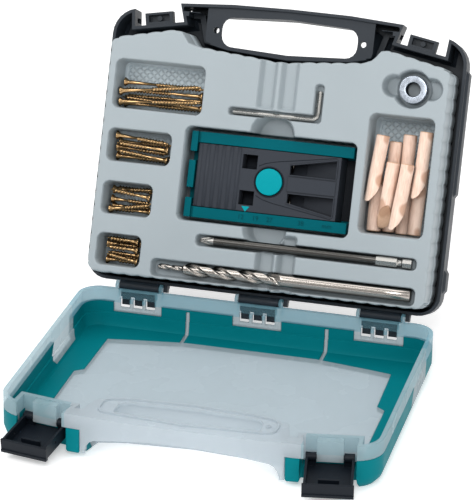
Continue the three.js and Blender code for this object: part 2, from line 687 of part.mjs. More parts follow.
function jigButton() {
  const cap = bar([BUTTON_U, JIG_CENTRE_D, 15.6], [BUTTON_U, JIG_CENTRE_D, JIG_TOP + 1], BUTTON_R, 32);
  const stem = bar([BUTTON_U, JIG_CENTRE_D, 4.4], [BUTTON_U, JIG_CENTRE_D, 16], 2.6);
  return join(cap, stem);
}

class SpringCurve extends THREE.Curve {
  getPoint(t, target = new THREE.Vector3()) {
    const angle = t * 2 * Math.PI * SPRING_TURNS;
    return target.set(SPRING_R * Math.cos(angle), SPRING_R * Math.sin(angle), t * SPRING_HEIGHT);
  }
}

function buttonSpring() {
  const wire = toShape(circle([0, 0], SPRING_WIRE_R, 6));
  const extrudePath = new SpringCurve();
  const geometry = new THREE.ExtrudeGeometry(wire, { steps: 48, bevelEnabled: false, extrudePath });
  geometry.translate(BUTTON_U, JIG_CENTRE_D, 1.8);
  return solidFrom(geometry);
}

// ---- drill, driver, stop collar and key ----
// A turned piece along u: profile of [distance from the left end, radius].
function turnedAlongU(profile, u, d, w, sides = 20) {
  const geometry = new THREE.LatheGeometry(profile.map(([run, r]) => new THREE.Vector2(r, run)), sides);
  geometry.rotateZ(-Math.PI / 2);
  geometry.translate(u, d, w);
  return solidFrom(geometry);
}

function drillBit() {
  const profile = [
    [0, 0],
    [1.2, PILOT_R],
    [18, PILOT_R],
    [19.6, DRILL_R],
    [DRILL_LENGTH - 0.5, DRILL_R],
    [DRILL_LENGTH, DRILL_R - 0.5],
    [DRILL_LENGTH, 0],
  ];
  return turnedAlongU(profile, -70.3, ...DRILL_AXIS);
}

function driverBit() {
  const profile = [[0, 0], [0, 0.9], [7, DRIVER_R], [126, DRIVER_R], [126, 0]];
  const body = turnedAlongU(profile, -42.2, ...DRIVER_AXIS);
  const hexR = HEX_FLAT / Math.sqrt(3);
  const hexagon = circle([0, 0], hexR, 6);
  const shank = prismAlongX(hexagon, 83, 107.8).translate([0, ...DRIVER_AXIS]);
  const groove = cut(
    bar([98.2, ...DRIVER_AXIS], [101, ...DRIVER_AXIS], 5),
    bar([98, ...DRIVER_AXIS], [101.2, ...DRIVER_AXIS], 2.6),
  );
  return cut(join(body, shank), groove);
}

const collarAt = (radius, w0, w1) => bar([...COLLAR_CENTRE, w0], [...COLLAR_CENTRE, w1], radius, 32);

// A bar through the side of the collar, from one distance off its centre to another.
function collarRadial(from, to, radius) {
  const [u, d] = COLLAR_CENTRE;
  return bar([u + from, d, COLLAR_MID_W], [u + to, d, COLLAR_MID_W], radius, 12);
}

function stopCollar() {
  const ring = cut(collarAt(COLLAR_R, 10.2, 20.2), collarAt(COLLAR_BORE_R, 9, 21));
  return cut(ring, collarRadial(0, 12, 2.2));
}

function collarScrew() {
  const [u, d] = COLLAR_CENTRE;
  const socket = prismAlongX(circle([d, COLLAR_MID_W], 1, 6), u + 7.4, u + 12);
  return cut(collarRadial(5.6, 9.4, 1.9), socket);
}

function hexKey() {
  const bend = 5;
  const path = new THREE.CurvePath();
  const long = [new THREE.Vector3(-28.6, 126.1, 0), new THREE.Vector3(31.2 - bend, 126.1, 0)];
  const corner = new THREE.Vector3(31.2, 126.1, 0);
  const short = [new THREE.Vector3(31.2, 126.1 + bend, 0), new THREE.Vector3(31.2, 146, 0)];
  path.add(new THREE.LineCurve3(...long));
  path.add(new THREE.QuadraticBezierCurve3(long[1], corner, short[0]));
  path.add(new THREE.LineCurve3(...short));
  const section = toShape(circle([0, 0], KEY_FLAT / Math.sqrt(3), 6));
  const geometry = new THREE.ExtrudeGeometry(section, { steps: 26, bevelEnabled: false, extrudePath: path });
  geometry.translate(0, 0, KEY_W);
  return solidFrom(geometry);
}

// ---- screws: each row of a bin is [head u, head d, tip d, layer] ----
function screw(length) {
  const profile = [
    [0, 0],
    [3.5, SCREW_THREAD_R],
    [length * 0.58, SCREW_THREAD_R],
    [length * 0.6, SCREW_SHANK_R],
    [length - 2.8, SCREW_SHANK_R],
    [length - 0.5, SCREW_HEAD_R],
    [length, SCREW_HEAD_R - 0.5],
    [length, 0],
  ];
  return new THREE.LatheGeometry(profile.map(([run, r]) => new THREE.Vector2(r, run)), 8);
}

const SCREW_BINS = [
  {
    name: "screw_60mm",
    length: 58.6,
    middle: -83,
    screws: [
      [-111.4, 124.8, 125, 0], [-53.6, 131, 130, 0],
      [-53.8, 125.6, 128.8, 1], [-54.2, 134.3, 134.2, 1], [-111.8, 139.4, 139.2, 1],
      [-112.8, 124.9, 129.5, 2], [-113.2, 132.4, 140.6, 2],
    ],
  },
  {
    name: "screw_40mm",
    length: 38.4,
    middle: -92,
    screws: [
      [-73.2, 88, 87.6, 0], [-111.8, 97.4, 98, 0],
      [-111.4, 87.3, 86.8, 1], [-112.2, 93.6, 91.8, 1],
      [-73.2, 87, 91, 2], [-73.2, 94.2, 96.2, 2], [-112, 101.6, 98.8, 2],
    ],
  },
  {
    name: "screw_30mm",
    length: 29.6,
    middle: -97,
    screws: [
      [-82.4, 64, 65, 0], [-111.6, 52, 52.5, 0],
      [-82.2, 50, 49.8, 1], [-111.8, 56.8, 55.8, 1], [-111.2, 63.4, 65.4, 1],
      [-82.4, 59.8, 63.2, 2], [-111.4, 49.4, 54.6, 2],
    ],
  },
  {
    name: "screw_25mm",
    length: 23.6,
    middle: -99,
    screws: [
      [-87.4, 27, 27.5, 0], [-110.6, 17, 16.6, 0],
      [-111.2, 25.6, 24.8, 1], [-110.6, 14.2, 14, 1], [-86.8, 18.6, 19.4, 1],
      [-87.2, 28.4, 29.4, 2], [-87, 22.4, 23.2, 2], [-86.6, 14.2, 18, 2],
    ],
  },
];

// A head left of the middle of its bin points its tip to the right.
function screwMeshes({ name, length, middle, screws }) {
  return screws.map(([headU, headD, tipD, layer], i) => {
    const inwards = headU < middle ? 1 : -1;
    const lean = Math.asin((tipD - headD) / length);
    const mesh = new THREE.Mesh(screw(length), materials.screw);
    mesh.name = `${name}_${i + 1}`;
    const axis = new THREE.Vector3(-inwards * Math.cos(lean), -Math.sin(lean), 0);
    mesh.quaternion.setFromUnitVectors(new THREE.Vector3(0, 1, 0), axis);
    const tip = new THREE.Vector3(headU, headD, SCREW_LAYERS[layer]).addScaledVector(axis, -length);
    mesh.position.copy(tip);
    return mesh;
  });
}

// ---- dowels: [flat end u, flat end d, other end u, other end d, w, roll of the slanted end] ----
const DOWELS = [
  [75.4, 54.8, 75.4, 101.8, -4.3, 90],
  [94.3, 54.4, 94.3, 101.4, -4.3, 90],
  [75.6, 54.6, 75.2, 101.6, 5.2, 90],
  [84.8, 55, 84.8, 102, -4.3, 0],
  [104.4, 54.6, 105.4, 101.6, 5.2, -60],
  [94.4, 123.2, 94.3, 76.2, 5.2, 180],
  [77.2, 120.8, 73.4, 74, 14.7, -145],
  [86.4, 103, 83.5, 56.1, 14.7, -20],
  [107.2, 126, 105.2, 79.1, 14.7, -145],
  [97.2, 102.6, 93, 55.8, 18.9, -140],
  [85, 117.5, 85, 70.5, 5.2, 0],
];

function dowelSolid() {
  const profile = [[0, 0], [0, DOWEL_R - 0.6], [0.6, DOWEL_R], [DOWEL_LENGTH, DOWEL_R], [DOWEL_LENGTH, 0]];
  const geometry = new THREE.LatheGeometry(profile.map(([run, r]) => new THREE.Vector2(r, run)), 14);
  const slope = (2 * DOWEL_R) / DOWEL_CUT;
  const wedge = [
    [DOWEL_R + 1, DOWEL_LENGTH - DOWEL_CUT - 1 / slope],
    [DOWEL_R + 1, DOWEL_LENGTH + 5],
    [-DOWEL_R - 1, DOWEL_LENGTH + 5],
    [-DOWEL_R - 1, DOWEL_LENGTH + 1 / slope],
  ];
  const knife = prism(wedge, -10, 10);
  return geometryFrom(cut(solidFrom(geometry), knife));
}

function dowelMeshes() {
  const geometry = dowelSolid();
  return DOWELS.map(([u0, d0, u1, d1, w, roll], i) => {
    const mesh = new THREE.Mesh(geometry, materials.wood);
    mesh.name = `dowel_${i + 1}`;
    const axis = new THREE.Vector3(u1 - u0, d1 - d0, 0).normalize();
    const sideways = new THREE.Vector3().crossVectors(axis, new THREE.Vector3(0, 0, 1));
    const basis = new THREE.Matrix4().makeBasis(new THREE.Vector3(0, 0, 1), axis, sideways.negate());
    mesh.quaternion.setFromRotationMatrix(basis);
    mesh.rotateY(THREE.MathUtils.degToRad(roll));
    mesh.position.set(u0, d0, w);
    return mesh;
  });
}

// ---- materials and assembly ----
const material = (color, roughness, metalness = 0, extra = {}) =>
  new THREE.MeshStandardMaterial({ color, roughness, metalness, ...extra });

const materials = {
  clear: material(0xc3cdd6, 0.35, 0, { transparent: true, opacity: 0.55 }),
  teal: material(0x008087, 0.5),
  dark: material(0x2d2f37, 0.55),
  latch: material(0x1c1e26, 0.5),
  insert: material(0xb0bec5, 0.6),
  button: material(0x00afb4, 0.45),
  steel: material(0x8d8781, 0.3, 1),
  spring: material(0xb8b8b8, 0.3, 1),
  collar: material(0xb9c3cc, 0.35, 1),
  screw: material(0xb8863a, 0.35, 1),
  wood: material(0xdcc3a6, 0.8),
};

function place(group, name, solid, look) {
  const mesh = new THREE.Mesh(geometryFrom(solid), look);
  mesh.name = name;
  group.add(mesh);
}

// A latch turned open about its pivot, hung on the clear half's boss.
function latchMesh(name, side) {
  const hang = new THREE.Group();
  const slant = THREE.MathUtils.degToRad(LATCH_SLANT);
  hang.position.set(
    side * (LATCH_U + LATCH_AXIS_OUT * Math.sin(slant)),
    LATCH_D + LATCH_AXIS_OUT * Math.cos(slant),
    LATCH_AXIS_W,
  );
  hang.rotation.z = -side * slant;
  const swing = new THREE.Group();
  swing.rotation.x = THREE.MathUtils.degToRad(LATCH_OPEN_ANGLE);
  const mesh = new THREE.Mesh(geometryFrom(latchClosed().mirror([0, 0, 1])), materials.latch);
  mesh.name = name;
  swing.add(mesh);
  hang.add(swing);
  return hang;
}

// The clear half stands on its floor: the case frame turned over, so that w points down.
function clearHalf() {
  const half = new THREE.Group();
  half.rotation.x = Math.PI;
  half.position.set(0, REAR_Y, TRAY_DEPTH);
  place(half, "clear_tray", clearTray(), materials.clear);
  place(half, "teal_bumper", bumper(), materials.teal);
  half.add(latchMesh("latch_left", -1), latchMesh("latch_right", 1));
  return half;
}

function darkHalf() {
  const pivot = new THREE.Group();
  pivot.position.set(0, REAR_Y - HINGE_D, TRAY_DEPTH - HINGE_W);
  pivot.rotation.x = -THREE.MathUtils.degToRad(OPEN_ANGLE);
  const half = new THREE.Group();
  half.rotation.x = Math.PI;
  half.position.set(0, HINGE_D, HINGE_W);
  pivot.add(half);
  place(half, "dark_shell", darkShell(), materials.dark);
  place(half, "insert_tray", insertTray(), materials.insert);
  place(half, "jig_base", jigBase(), materials.teal);
  place(half, "jig_slider", jigSlider(), materials.dark);
  place(half, "guide_sleeve_upper", guideSleeve(1), materials.steel);
  place(half, "guide_sleeve_lower", guideSleeve(-1), materials.steel);
  place(half, "jig_button", jigButton(), materials.button);
  place(half, "button_spring", buttonSpring(), materials.spring);
  place(half, "step_drill", drillBit(), materials.steel);
  place(half, "driver_bit", driverBit(), materials.steel);
  place(half, "stop_collar", stopCollar(), materials.collar);
  place(half, "collar_set_screw", collarScrew(), materials.latch);
  place(half, "hex_key", hexKey(), materials.steel);
  half.add(...SCREW_BINS.flatMap(screwMeshes), ...dowelMeshes());
  return pivot;
}

const kit = new THREE.Group();
kit.add(clearHalf(), darkHalf());

export default kit;
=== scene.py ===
import json
import math

import bpy
import numpy as np
from mathutils import Matrix, Vector


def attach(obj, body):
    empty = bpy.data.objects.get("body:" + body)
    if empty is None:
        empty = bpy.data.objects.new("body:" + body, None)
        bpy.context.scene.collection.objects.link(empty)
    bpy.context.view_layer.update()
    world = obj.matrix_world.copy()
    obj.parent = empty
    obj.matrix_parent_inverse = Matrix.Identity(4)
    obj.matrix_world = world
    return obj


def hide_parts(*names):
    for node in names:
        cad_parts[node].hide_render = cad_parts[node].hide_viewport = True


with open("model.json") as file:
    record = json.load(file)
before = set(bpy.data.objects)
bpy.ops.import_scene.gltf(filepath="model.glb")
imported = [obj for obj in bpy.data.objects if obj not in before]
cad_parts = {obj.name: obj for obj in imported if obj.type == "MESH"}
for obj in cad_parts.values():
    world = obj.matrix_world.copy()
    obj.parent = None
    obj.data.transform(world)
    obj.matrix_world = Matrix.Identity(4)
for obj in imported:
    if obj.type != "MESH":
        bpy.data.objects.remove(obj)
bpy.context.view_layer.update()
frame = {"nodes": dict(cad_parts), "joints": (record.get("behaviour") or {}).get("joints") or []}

MM = 0.001

# ---- the case frame of the dark half, in millimetres ----
# u runs across, d from the rear rim to the handle and w straight out of the insert.
LID = next(j for j in frame["joints"] if j["name"] == "lid_hinge")
OPENING = math.radians(LID["range_deg"][0])
HINGE_D = -2.9
HINGE_W = -1.2
ALONG_D = Vector((0, -math.cos(OPENING), -math.sin(OPENING)))
ALONG_W = Vector((0, math.sin(OPENING), -math.cos(OPENING)))
INSERT_TOP = 23.7

# ---- camera: where the open case is seen from ----
AZIMUTH = math.radians(14.24)
ELEVATION = math.radians(23.34)
ROLL = math.radians(0.91)
DISTANCE = 1.93397
SHIFT_RIGHT = -0.01506
SHIFT_UP = 0.03784
LENS_MM = 199.64
SENSOR_MM = 36.0
FAR_LIMIT = 50
RIM_CENTRE = Vector((0, 0.098, 0.031))


def axes_matrix(x, y, z, place):
    """Rigid matrix with the given axes and place."""
    columns = (x, y, z, place)
    return Matrix([[c[k] for c in columns] for k in range(3)] + [[0, 0, 0, 1]])


def case_matrix():
    """From the case frame to the world, found from the hinge between the two halves."""
    origin = Vector(LID["pos_m"]) - ALONG_D * HINGE_D * MM - ALONG_W * HINGE_W * MM
    return axes_matrix(Vector((1, 0, 0)), ALONG_D, ALONG_W, origin)


CASE = case_matrix()


# ================= materials =================
# Noise stays mostly within this range.
NOISE_RANGE = (0.3, 0.7)
# How far a metal has turned away from the viewer where its painted dark rim reflection begins and where it is
# darkest.
RIM_RANGE = (0.15, 0.75)
# Share of open surroundings where the painted crevice shade is darkest and where it ends.
CREVICE_RANGE = (0.25, 0.9)
# Heights between which the insert turns to the painted light on its pocket floors.
PAINTED_LIGHT_HEIGHTS = (3.5 * MM, 1.5 * MM)
# How far the painted crevice shade reaches, in metres.
PLASTIC_CREVICE = 0.0018
METAL_CREVICE = 0.003
WOOD_CREVICE = 0.0025
# How high the grain of a surface stands, in metres.
PLASTIC_GRAIN = 0.0001
METAL_GRAIN = 0.00005
WOOD_GRAIN = 0.0003


class Nodes:
    """Small helper around one material's node tree."""

    def __init__(self, name):
        self.material = bpy.data.materials.new(name)
        self.material.use_nodes = True
        self.tree = self.material.node_tree
        self.shader = self.tree.nodes["Principled BSDF"]
        self.out = self.tree.nodes["Material Output"]

    def add(self, kind, **values):
        node = self.tree.nodes.new(kind)
        for key, value in values.items():
            setattr(node, key, value)
        return node

    def link(self, source, target):
        self.tree.links.new(source, target)

    def feed(self, socket, value):
        """Gives a socket a link, a colour or a plain number."""
        if isinstance(value, bpy.types.NodeSocket):
            self.link(value, socket)
        elif isinstance(value, tuple):
            socket.default_value = (*value, 1)
        else:
            socket.default_value = value

    def set(self, name, value):
        self.feed(self.shader.inputs[name], value)

    def coordinates(self, scale=(1, 1, 1)):
        texture = self.add("ShaderNodeTexCoord")
        mapping = self.add("ShaderNodeMapping")
        mapping.inputs["Scale"].default_value = scale
        self.link(texture.outputs["Object"], mapping.inputs["Vector"])
        return mapping.outputs["Vector"]

    def axes(self, vector):
        """The X, Y and Z parts of a vector."""
        parts = self.add("ShaderNodeSeparateXYZ")
        self.link(vector, parts.inputs["Vector"])
        return [parts.outputs[axis] for axis in "XYZ"]

    def world_place(self):
        return self.axes(self.add("ShaderNodeNewGeometry").outputs["Position"])

    def noise(self, vector, scale, detail=3.0, roughness=0.5):
        node = self.add("ShaderNodeTexNoise")
        settings = {"Vector": vector, "Scale": scale, "Detail": detail, "Roughness": roughness}
        for name, value in settings.items():
            self.feed(node.inputs[name], value)
        return node.outputs["Fac"]

    def map_range(self, value, source, result):
        """Maps a value from one range to another and stops at both ends."""
        node = self.add("ShaderNodeMapRange")
        names = ("Value", "From Min", "From Max", "To Min", "To Max")
        for name, setting in zip(names, (value, *source, *result)):
            self.feed(node.inputs[name], setting)
        return node.outputs["Result"]

    def spread(self, pattern, low, high):
        """Maps a noise pattern to low-high."""
        return self.map_range(pattern, NOISE_RANGE, (low, high))

    def mixed(self, factor, first, second, blend="MIX"):
        """A mix of two colours; all three inputs are sockets or plain values."""
        node = self.add("ShaderNodeMix", data_type="RGBA", blend_type=blend)
        for name, value in (("Factor", factor), ("A", first), ("B", second)):
            self.feed(node.inputs[name], value)
        return node.outputs["Result"]

    def multiply(self, colour, factor):
        return self.mixed(1.0, colour, factor, "MULTIPLY")

    def arithmetic(self, operation, *values):
        """A math node whose inputs are sockets or plain numbers."""
        node = self.add("ShaderNodeMath", operation=operation)
        for socket, value in zip(node.inputs, values):
            self.feed(socket, value)
        return node.outputs["Value"]

    def bump(self, height, strength, distance, edge_radius=0.0):
        """Raises the surface by a pattern; an edge radius also softens the look of sharp edges."""
        node = self.add("ShaderNodeBump")
        for name, value in (("Height", height), ("Strength", strength), ("Distance", distance)):
            self.feed(node.inputs[name], value)
        if edge_radius:
            edge = self.add("ShaderNodeBevel", samples=4)
            edge.inputs["Radius"].default_value = edge_radius
            self.link(edge.outputs["Normal"], node.inputs["Normal"])
        self.set("Normal", node.outputs["Normal"])
        return node.outputs["Normal"]

    def painted_rim_reflection(self, colour, depth):
        """Paints a dark reflection on a metal where its surface turns away from the viewer."""
        facing = self.add("ShaderNodeLayerWeight")
        facing.inputs["Blend"].default_value = 0.5
        return self.multiply(colour, self.map_range(facing.outputs["Facing"], RIM_RANGE, (1.0, 1 - depth)))

    def painted_crevice_shade(self, colour, depth, reach):
        """Paints shade into a colour where the surface lies close to others."""
        near = self.add("ShaderNodeAmbientOcclusion", samples=6)
        near.inputs["Distance"].default_value = reach
        return self.multiply(colour, self.map_range(near.outputs["AO"], CREVICE_RANGE, (1 - depth, 1.0)))

    def paint_pocket_floor_light(self, colour, gain):
        """Paints light on the floors of deep pockets, which lie lowest in the insert's own frame."""
        height = self.axes(self.coordinates())[2]
        return self.multiply(colour, self.map_range(height, PAINTED_LIGHT_HEIGHTS, (1.0, gain)))


def scaled(colour, factor):
    return tuple(min(1.0, c * factor) for c in colour)


def plastic(name, colour, roughness, grain=1500.0, strength=0.25, mottle=0.06, edge=0.0004, specular=0.3,
            shade=0, painted_light_gain=0):
    """Moulded plastic: faintly mottled, with a fine grain, and where asked with painted shade where its
    surface lies close to others and painted light on its pocket floors.
    """
    m = Nodes(name)
    vector = m.coordinates()
    broad = m.noise(vector, 35.0)
    tone = m.mixed(broad, scaled(colour, 1 - mottle), scaled(colour, 1 + mottle))
    # Painted shade where the surface lies close to others, and painted light on the pocket floors.
    if shade:
        tone = m.painted_crevice_shade(tone, shade, PLASTIC_CREVICE)
    if painted_light_gain:
        tone = m.paint_pocket_floor_light(tone, painted_light_gain)
    m.set("Base Color", tone)
    m.set("Roughness", m.spread(broad, roughness - 0.05, roughness + 0.05))
    m.set("Specular IOR Level", specular)
    m.bump(m.noise(vector, grain, 2.0), strength, PLASTIC_GRAIN, edge)
    return m.material


def metal(name, colour, roughness, streak=(1, 1, 1), scale=900.0, tint=0.12, strength=0.15, shade=0, rim=0.6):
    """Metal with a fine pattern, drawn out into streaks where streak is small, with painted shade in its
    hollows where shade is given, and a painted dark reflection on its rims.
    """
    m = Nodes(name)
    pattern = m.noise(m.coordinates(streak), scale, 3.0, 0.6)
    tone = m.mixed(pattern, scaled(colour, 1 - tint), scaled(colour, 1 + tint))
    # Painted shade in the hollows, then a painted dark reflection on the rims.
    if shade:
        tone = m.painted_crevice_shade(tone, shade, METAL_CREVICE)
    m.set("Base Color", m.painted_rim_reflection(tone, rim))
    m.set("Roughness", m.spread(pattern, roughness * 0.88, roughness * 1.12))
    m.set("Metallic", 1.0)
    m.bump(pattern, strength, METAL_GRAIN)
    return m.material


# Panels of the rear wall in front of the stop tongues, in metres. More light passes straight through them.
HINGE_PITCH = 0.0868
PANEL_HALF_WIDTH = 0.0128
PANEL_LOW = 0.0237
PANEL_HIGH = 0.0296
PANEL_FRONT = 0.0925
PANEL_GAIN = 0.36


def hinge_panels(m):
    """One in the three panels in front of the stop tongues, and zero elsewhere."""
    x, y, z = m.world_place()
    shifted = m.arithmetic("ADD", x, HINGE_PITCH * 1.5)
    within_pitch = m.arithmetic("FLOORED_MODULO", shifted, HINGE_PITCH)
    from_centre = m.arithmetic("ABSOLUTE", m.arithmetic("SUBTRACT", within_pitch, HINGE_PITCH / 2))
    mask = m.arithmetic("LESS_THAN", from_centre, PANEL_HALF_WIDTH)
    mask = m.arithmetic("MULTIPLY", mask, m.arithmetic("GREATER_THAN", z, PANEL_LOW))
    mask = m.arithmetic("MULTIPLY", mask, m.arithmetic("LESS_THAN", z, PANEL_HIGH))
    return m.arithmetic("MULTIPLY", mask, m.arithmetic("GREATER_THAN", y, PANEL_FRONT))


# Zones of the clear half, in metres, and their tints.
FLOOR_TOP = 0.0045
BAND_LOW = 0.0207
HANDLE_START = -0.058
HANDLE_HALF_WIDTH = 0.078
REAR_START = 0.06
FLOOR_TINT = (0.90, 0.90, 0.91)
HANDLE_TINT = (1.13, 1.09, 1.10)
REAR_BAND_TINT = (0.52, 0.87, 0.97)
SIDE_BAND_TINT = (0.80, 0.96, 0.99)


def wall_tints(m, colour):
    """Darkens the floor, lightens the handle and takes red out of the band, most of all at the rear."""
    x, y, z = m.world_place()
    across = m.arithmetic("ABSOLUTE", x)
    is_front = m.arithmetic("LESS_THAN", y, HANDLE_START)
    is_handle = m.arithmetic("MULTIPLY", is_front, m.arithmetic("LESS_THAN", across, HANDLE_HALF_WIDTH))
    is_body = m.arithmetic("SUBTRACT", 1.0, is_handle)
    is_floor = m.arithmetic("MULTIPLY", is_body, m.arithmetic("LESS_THAN", z, FLOOR_TOP))
    is_band = m.arithmetic("MULTIPLY", is_body, m.arithmetic("GREATER_THAN", z, BAND_LOW))
    is_rear = m.arithmetic("MULTIPLY", is_band, m.arithmetic("GREATER_THAN", y, REAR_START))
    is_side = m.arithmetic("SUBTRACT", is_band, is_rear)
    masks = (is_handle, is_floor, is_rear, is_side)
    for mask, tint in zip(masks, (HANDLE_TINT, FLOOR_TINT, REAR_BAND_TINT, SIDE_BAND_TINT)):
        colour = m.mixed(mask, colour, tint, "MULTIPLY")
    return colour


def frosted_plastic(name, colour, see_through):
    """Milky plastic: part of the light passes straight on and the cloudy wall scatters the rest."""
    m = Nodes(name)
    vector = m.coordinates()
    cloud = m.noise(vector, 28.0, 4.0)
    tone = wall_tints(m, m.mixed(cloud, scaled(colour, 0.96), scaled(colour, 1.04)))
    m.set("Base Color", tone)
    m.set("Roughness", m.spread(cloud, 0.24, 0.30))
    m.set("Specular IOR Level", 0.3)
    normal = m.bump(m.noise(vector, 420.0, 3.0), 0.12, PLASTIC_GRAIN, 0.0005)
    glow = m.add("ShaderNodeBsdfTranslucent")
    m.link(tone, glow.inputs["Color"])
    m.link(normal, glow.inputs["Normal"])
    clear = m.add("ShaderNodeBsdfTransparent")
    clear.inputs["Color"].default_value = (0.86, 0.89, 0.91, 1)
    body = mixed_shaders(m, 0.35, m.shader.outputs["BSDF"], glow.outputs["BSDF"])
    passing = m.arithmetic("ADD", m.arithmetic("MULTIPLY", hinge_panels(m), PANEL_GAIN), see_through)
    m.link(mixed_shaders(m, passing, body, clear.outputs["BSDF"]), m.out.inputs["Surface"])
    return m.material


def mixed_shaders(m, factor, first, second):
    mix = m.add("ShaderNodeMixShader")
    for socket, value in zip(mix.inputs, (factor, first, second)):
        m.feed(socket, value)
    return mix.outputs["Shader"]


def wood(name, light, dark, wash):
    """Beech: fibres along the piece, a wash of a paler tone, a few brown stains and painted shade where it
    lies close to other pieces.
    """
    m = Nodes(name)
    grain = m.noise(m.coordinates((0.12, 1, 1)), 900.0, 6.0, 0.65)
    broad = m.noise(m.coordinates((0.3, 1, 1)), 120.0, 3.0)
    spots = m.noise(m.coordinates((0.6, 1, 1)), 75.0, 1.0)
    fibres = m.mixed(m.spread(grain, 0, 1), light, dark)
    washed = m.mixed(m.spread(broad, 0.1, 0.85), fibres, wash)
    stained = m.mixed(m.map_range(spots, (0.63, 0.70), (0, 0.75)), washed, dark)
    # Painted shade where the dowels lie close to each other.
    m.set("Base Color", m.painted_crevice_shade(stained, 0.55, WOOD_CREVICE))
    m.set("Roughness", 0.75)
    m.bump(grain, 0.5, WOOD_GRAIN)
    return m.material


ALONG_X = (0.02, 1, 1)
# Where given, shade is painted shade in a material's hollows (the insert, the slider's grooves, the drill's
# flutes, the screws), rim a painted dark reflection on a metal's rims, and the insert's pocket floors get
# painted light.
TEAL = plastic("teal", (0.0, 0.168, 0.196), 0.5, specular=0.05)
CLEAR = frosted_plastic("frosted", (0.58, 0.65, 0.678), 0.46)
DARK = plastic("anthracite", (0.016, 0.022, 0.030), 0.5, strength=0.4, specular=0.35)
BLACK = plastic("black", (0.006, 0.009, 0.014), 0.42, specular=0.16)
INSERT = plastic("insert_sheet", (0.328, 0.372, 0.395), 0.4, grain=500.0, strength=0.1, mottle=0.03,
                 edge=0, shade=0.45, painted_light_gain=1.75)
SLIDER = plastic("slider_grey", (0.032, 0.037, 0.047), 0.5, strength=0.35, specular=0.16, shade=0.7)
BUTTON = plastic("turquoise", (0.0, 0.285, 0.33), 0.35, specular=0.08)
JIG_TEAL = plastic("jig_teal", (0.0, 0.098, 0.122), 0.4, specular=0.04)
INK = plastic("scale_ink", (0.0, 0.045, 0.058), 0.6, edge=0, specular=0.05)
STEEL = metal("tool_steel", (0.43, 0.395, 0.36), 0.24, ALONG_X, 40.0, 0.05, 0.01, shade=0.8, rim=0.9)
BRIGHT = metal("bright_steel", (0.37, 0.36, 0.34), 0.28, scale=200.0, tint=0.06, strength=0.01, rim=0.8)
SATIN = metal("satin_rod", (0.085, 0.082, 0.077), 0.28, ALONG_X, 40.0, 0.06, 0.01, rim=0.85)
ZINC = metal("blank_zinc", (0.48, 0.53, 0.60), 0.26, scale=300.0, strength=0.03, rim=0.3)
YELLOW = metal("yellow_zinc", (0.54, 0.345, 0.165), 0.17, scale=260.0, tint=0.15, strength=0.03,
               shade=0.95, rim=0.92)
# A dark metal for the painted shade inside the stop collar's bore.
BORE_SHADE = metal("collar_bore", (0.055, 0.07, 0.085), 0.4)
WOOD = wood("beech", (0.93, 0.68, 0.55), (0.50, 0.27, 0.17), (0.94, 0.74, 0.62))
END_GRAIN = wood("beech_end", (0.66, 0.42, 0.28), (0.45, 0.26, 0.16), (0.68, 0.45, 0.31))


# ================= CAD pieces that are shown as they are =================
# Each row: node, material, slot and the width of its broken edges in millimetres.
SHOWN_CAD = [
    ("clear_tray", CLEAR, "clear_plastic", 0.15),
    ("teal_bumper", TEAL, "teal_plastic", 0.12),
    ("latch_left", BLACK, "black_plastic", 0.45),
    ("latch_right", BLACK, "black_plastic", 0.45),
    ("dark_shell", DARK, "dark_plastic", 0.45),
    ("jig_base", JIG_TEAL, "teal_plastic", 0.5),
    ("jig_slider", SLIDER, "dark_plastic", 0.35),
    ("jig_button", BUTTON, "button_plastic", 0.5),
    ("button_spring", ZINC, "spring_steel", 0),
    ("guide_sleeve_upper", STEEL, "steel", 0.3),
    ("guide_sleeve_lower", STEEL, "steel", 0.3),
    ("stop_collar", ZINC, "zinc_steel", 0.5),
    ("collar_set_screw", BLACK, "black_steel", 0.1),
    ("hex_key", BRIGHT, "spring_steel", 0.15),
]
SHARP_FROM = math.radians(32)
WELD_DISTANCE = 0.00001


def break_edges(o, width, **settings):
    """Rounds the sharp edges of a piece by a width in millimetres."""
    edge = o.modifiers.new("broken_edges", "BEVEL")
    edge.width = width * MM
    edge.segments = 2
    for key, value in settings.items():
        setattr(edge, key, value)


def finish_cad(node, material, slot, edge_width):
    """Gives a shown CAD node its finish, softly broken edges and smooth curved faces."""
    o = frame["nodes"][node]
    o.data.materials.clear()
    o.data.materials.append(material)
    o.data.polygons.foreach_set("use_smooth", [True] * len(o.data.polygons))
    weld = o.modifiers.new("weld", "WELD")
    weld.merge_threshold = WELD_DISTANCE
    if edge_width:
        break_edges(o, edge_width, limit_method="ANGLE", angle_limit=SHARP_FROM, use_clamp_overlap=True)
    normals = o.modifiers.new("flat_faces", "WEIGHTED_NORMAL")
    normals.keep_sharp = True


def finish_shown_cad():
    for row in SHOWN_CAD:
        finish_cad(*row)


# ================= building new pieces =================
def place_mesh(name, mesh, material, matrix, body):
    """Puts a mesh into the scene with its material, and lets it ride on its body."""
    mesh.materials.clear()
    mesh.materials.append(material)
    o = bpy.data.objects.new(name, mesh)
    bpy.context.scene.collection.objects.link(o)
    o.matrix_world = matrix
    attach(o, body)
    return o


def new_piece(name, points, faces, matrix, material, body, replaced=(), smooth=True):
    """A mesh from points in millimetres in a local frame, placed by a rigid matrix in metres."""
    mesh = bpy.data.meshes.new(name)
    mesh.from_pydata([tuple(p) for p in np.asarray(points, float) * MM], [], faces)
    mesh.polygons.foreach_set("use_smooth", [smooth] * len(mesh.polygons))
    mesh.update()
    o = place_mesh(name, mesh, material, matrix, body)
    if replaced:
        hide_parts(*replaced)
    return o


def grid_faces(rows, columns, closed):
    """Quads between neighbouring rows of points; closed rings join their last column to their first."""
    across = columns if closed else columns - 1
    r, c = np.meshgrid(np.arange(rows - 1), np.arange(across), indexing="ij")
    row, next_row = r * columns, (r + 1) * columns
    after = (c + 1) % columns
    quads = np.stack([row + c, row + after, next_row + after, next_row + c], -1).reshape(-1, 4)
    return [tuple(int(i) for i in quad) for quad in quads]


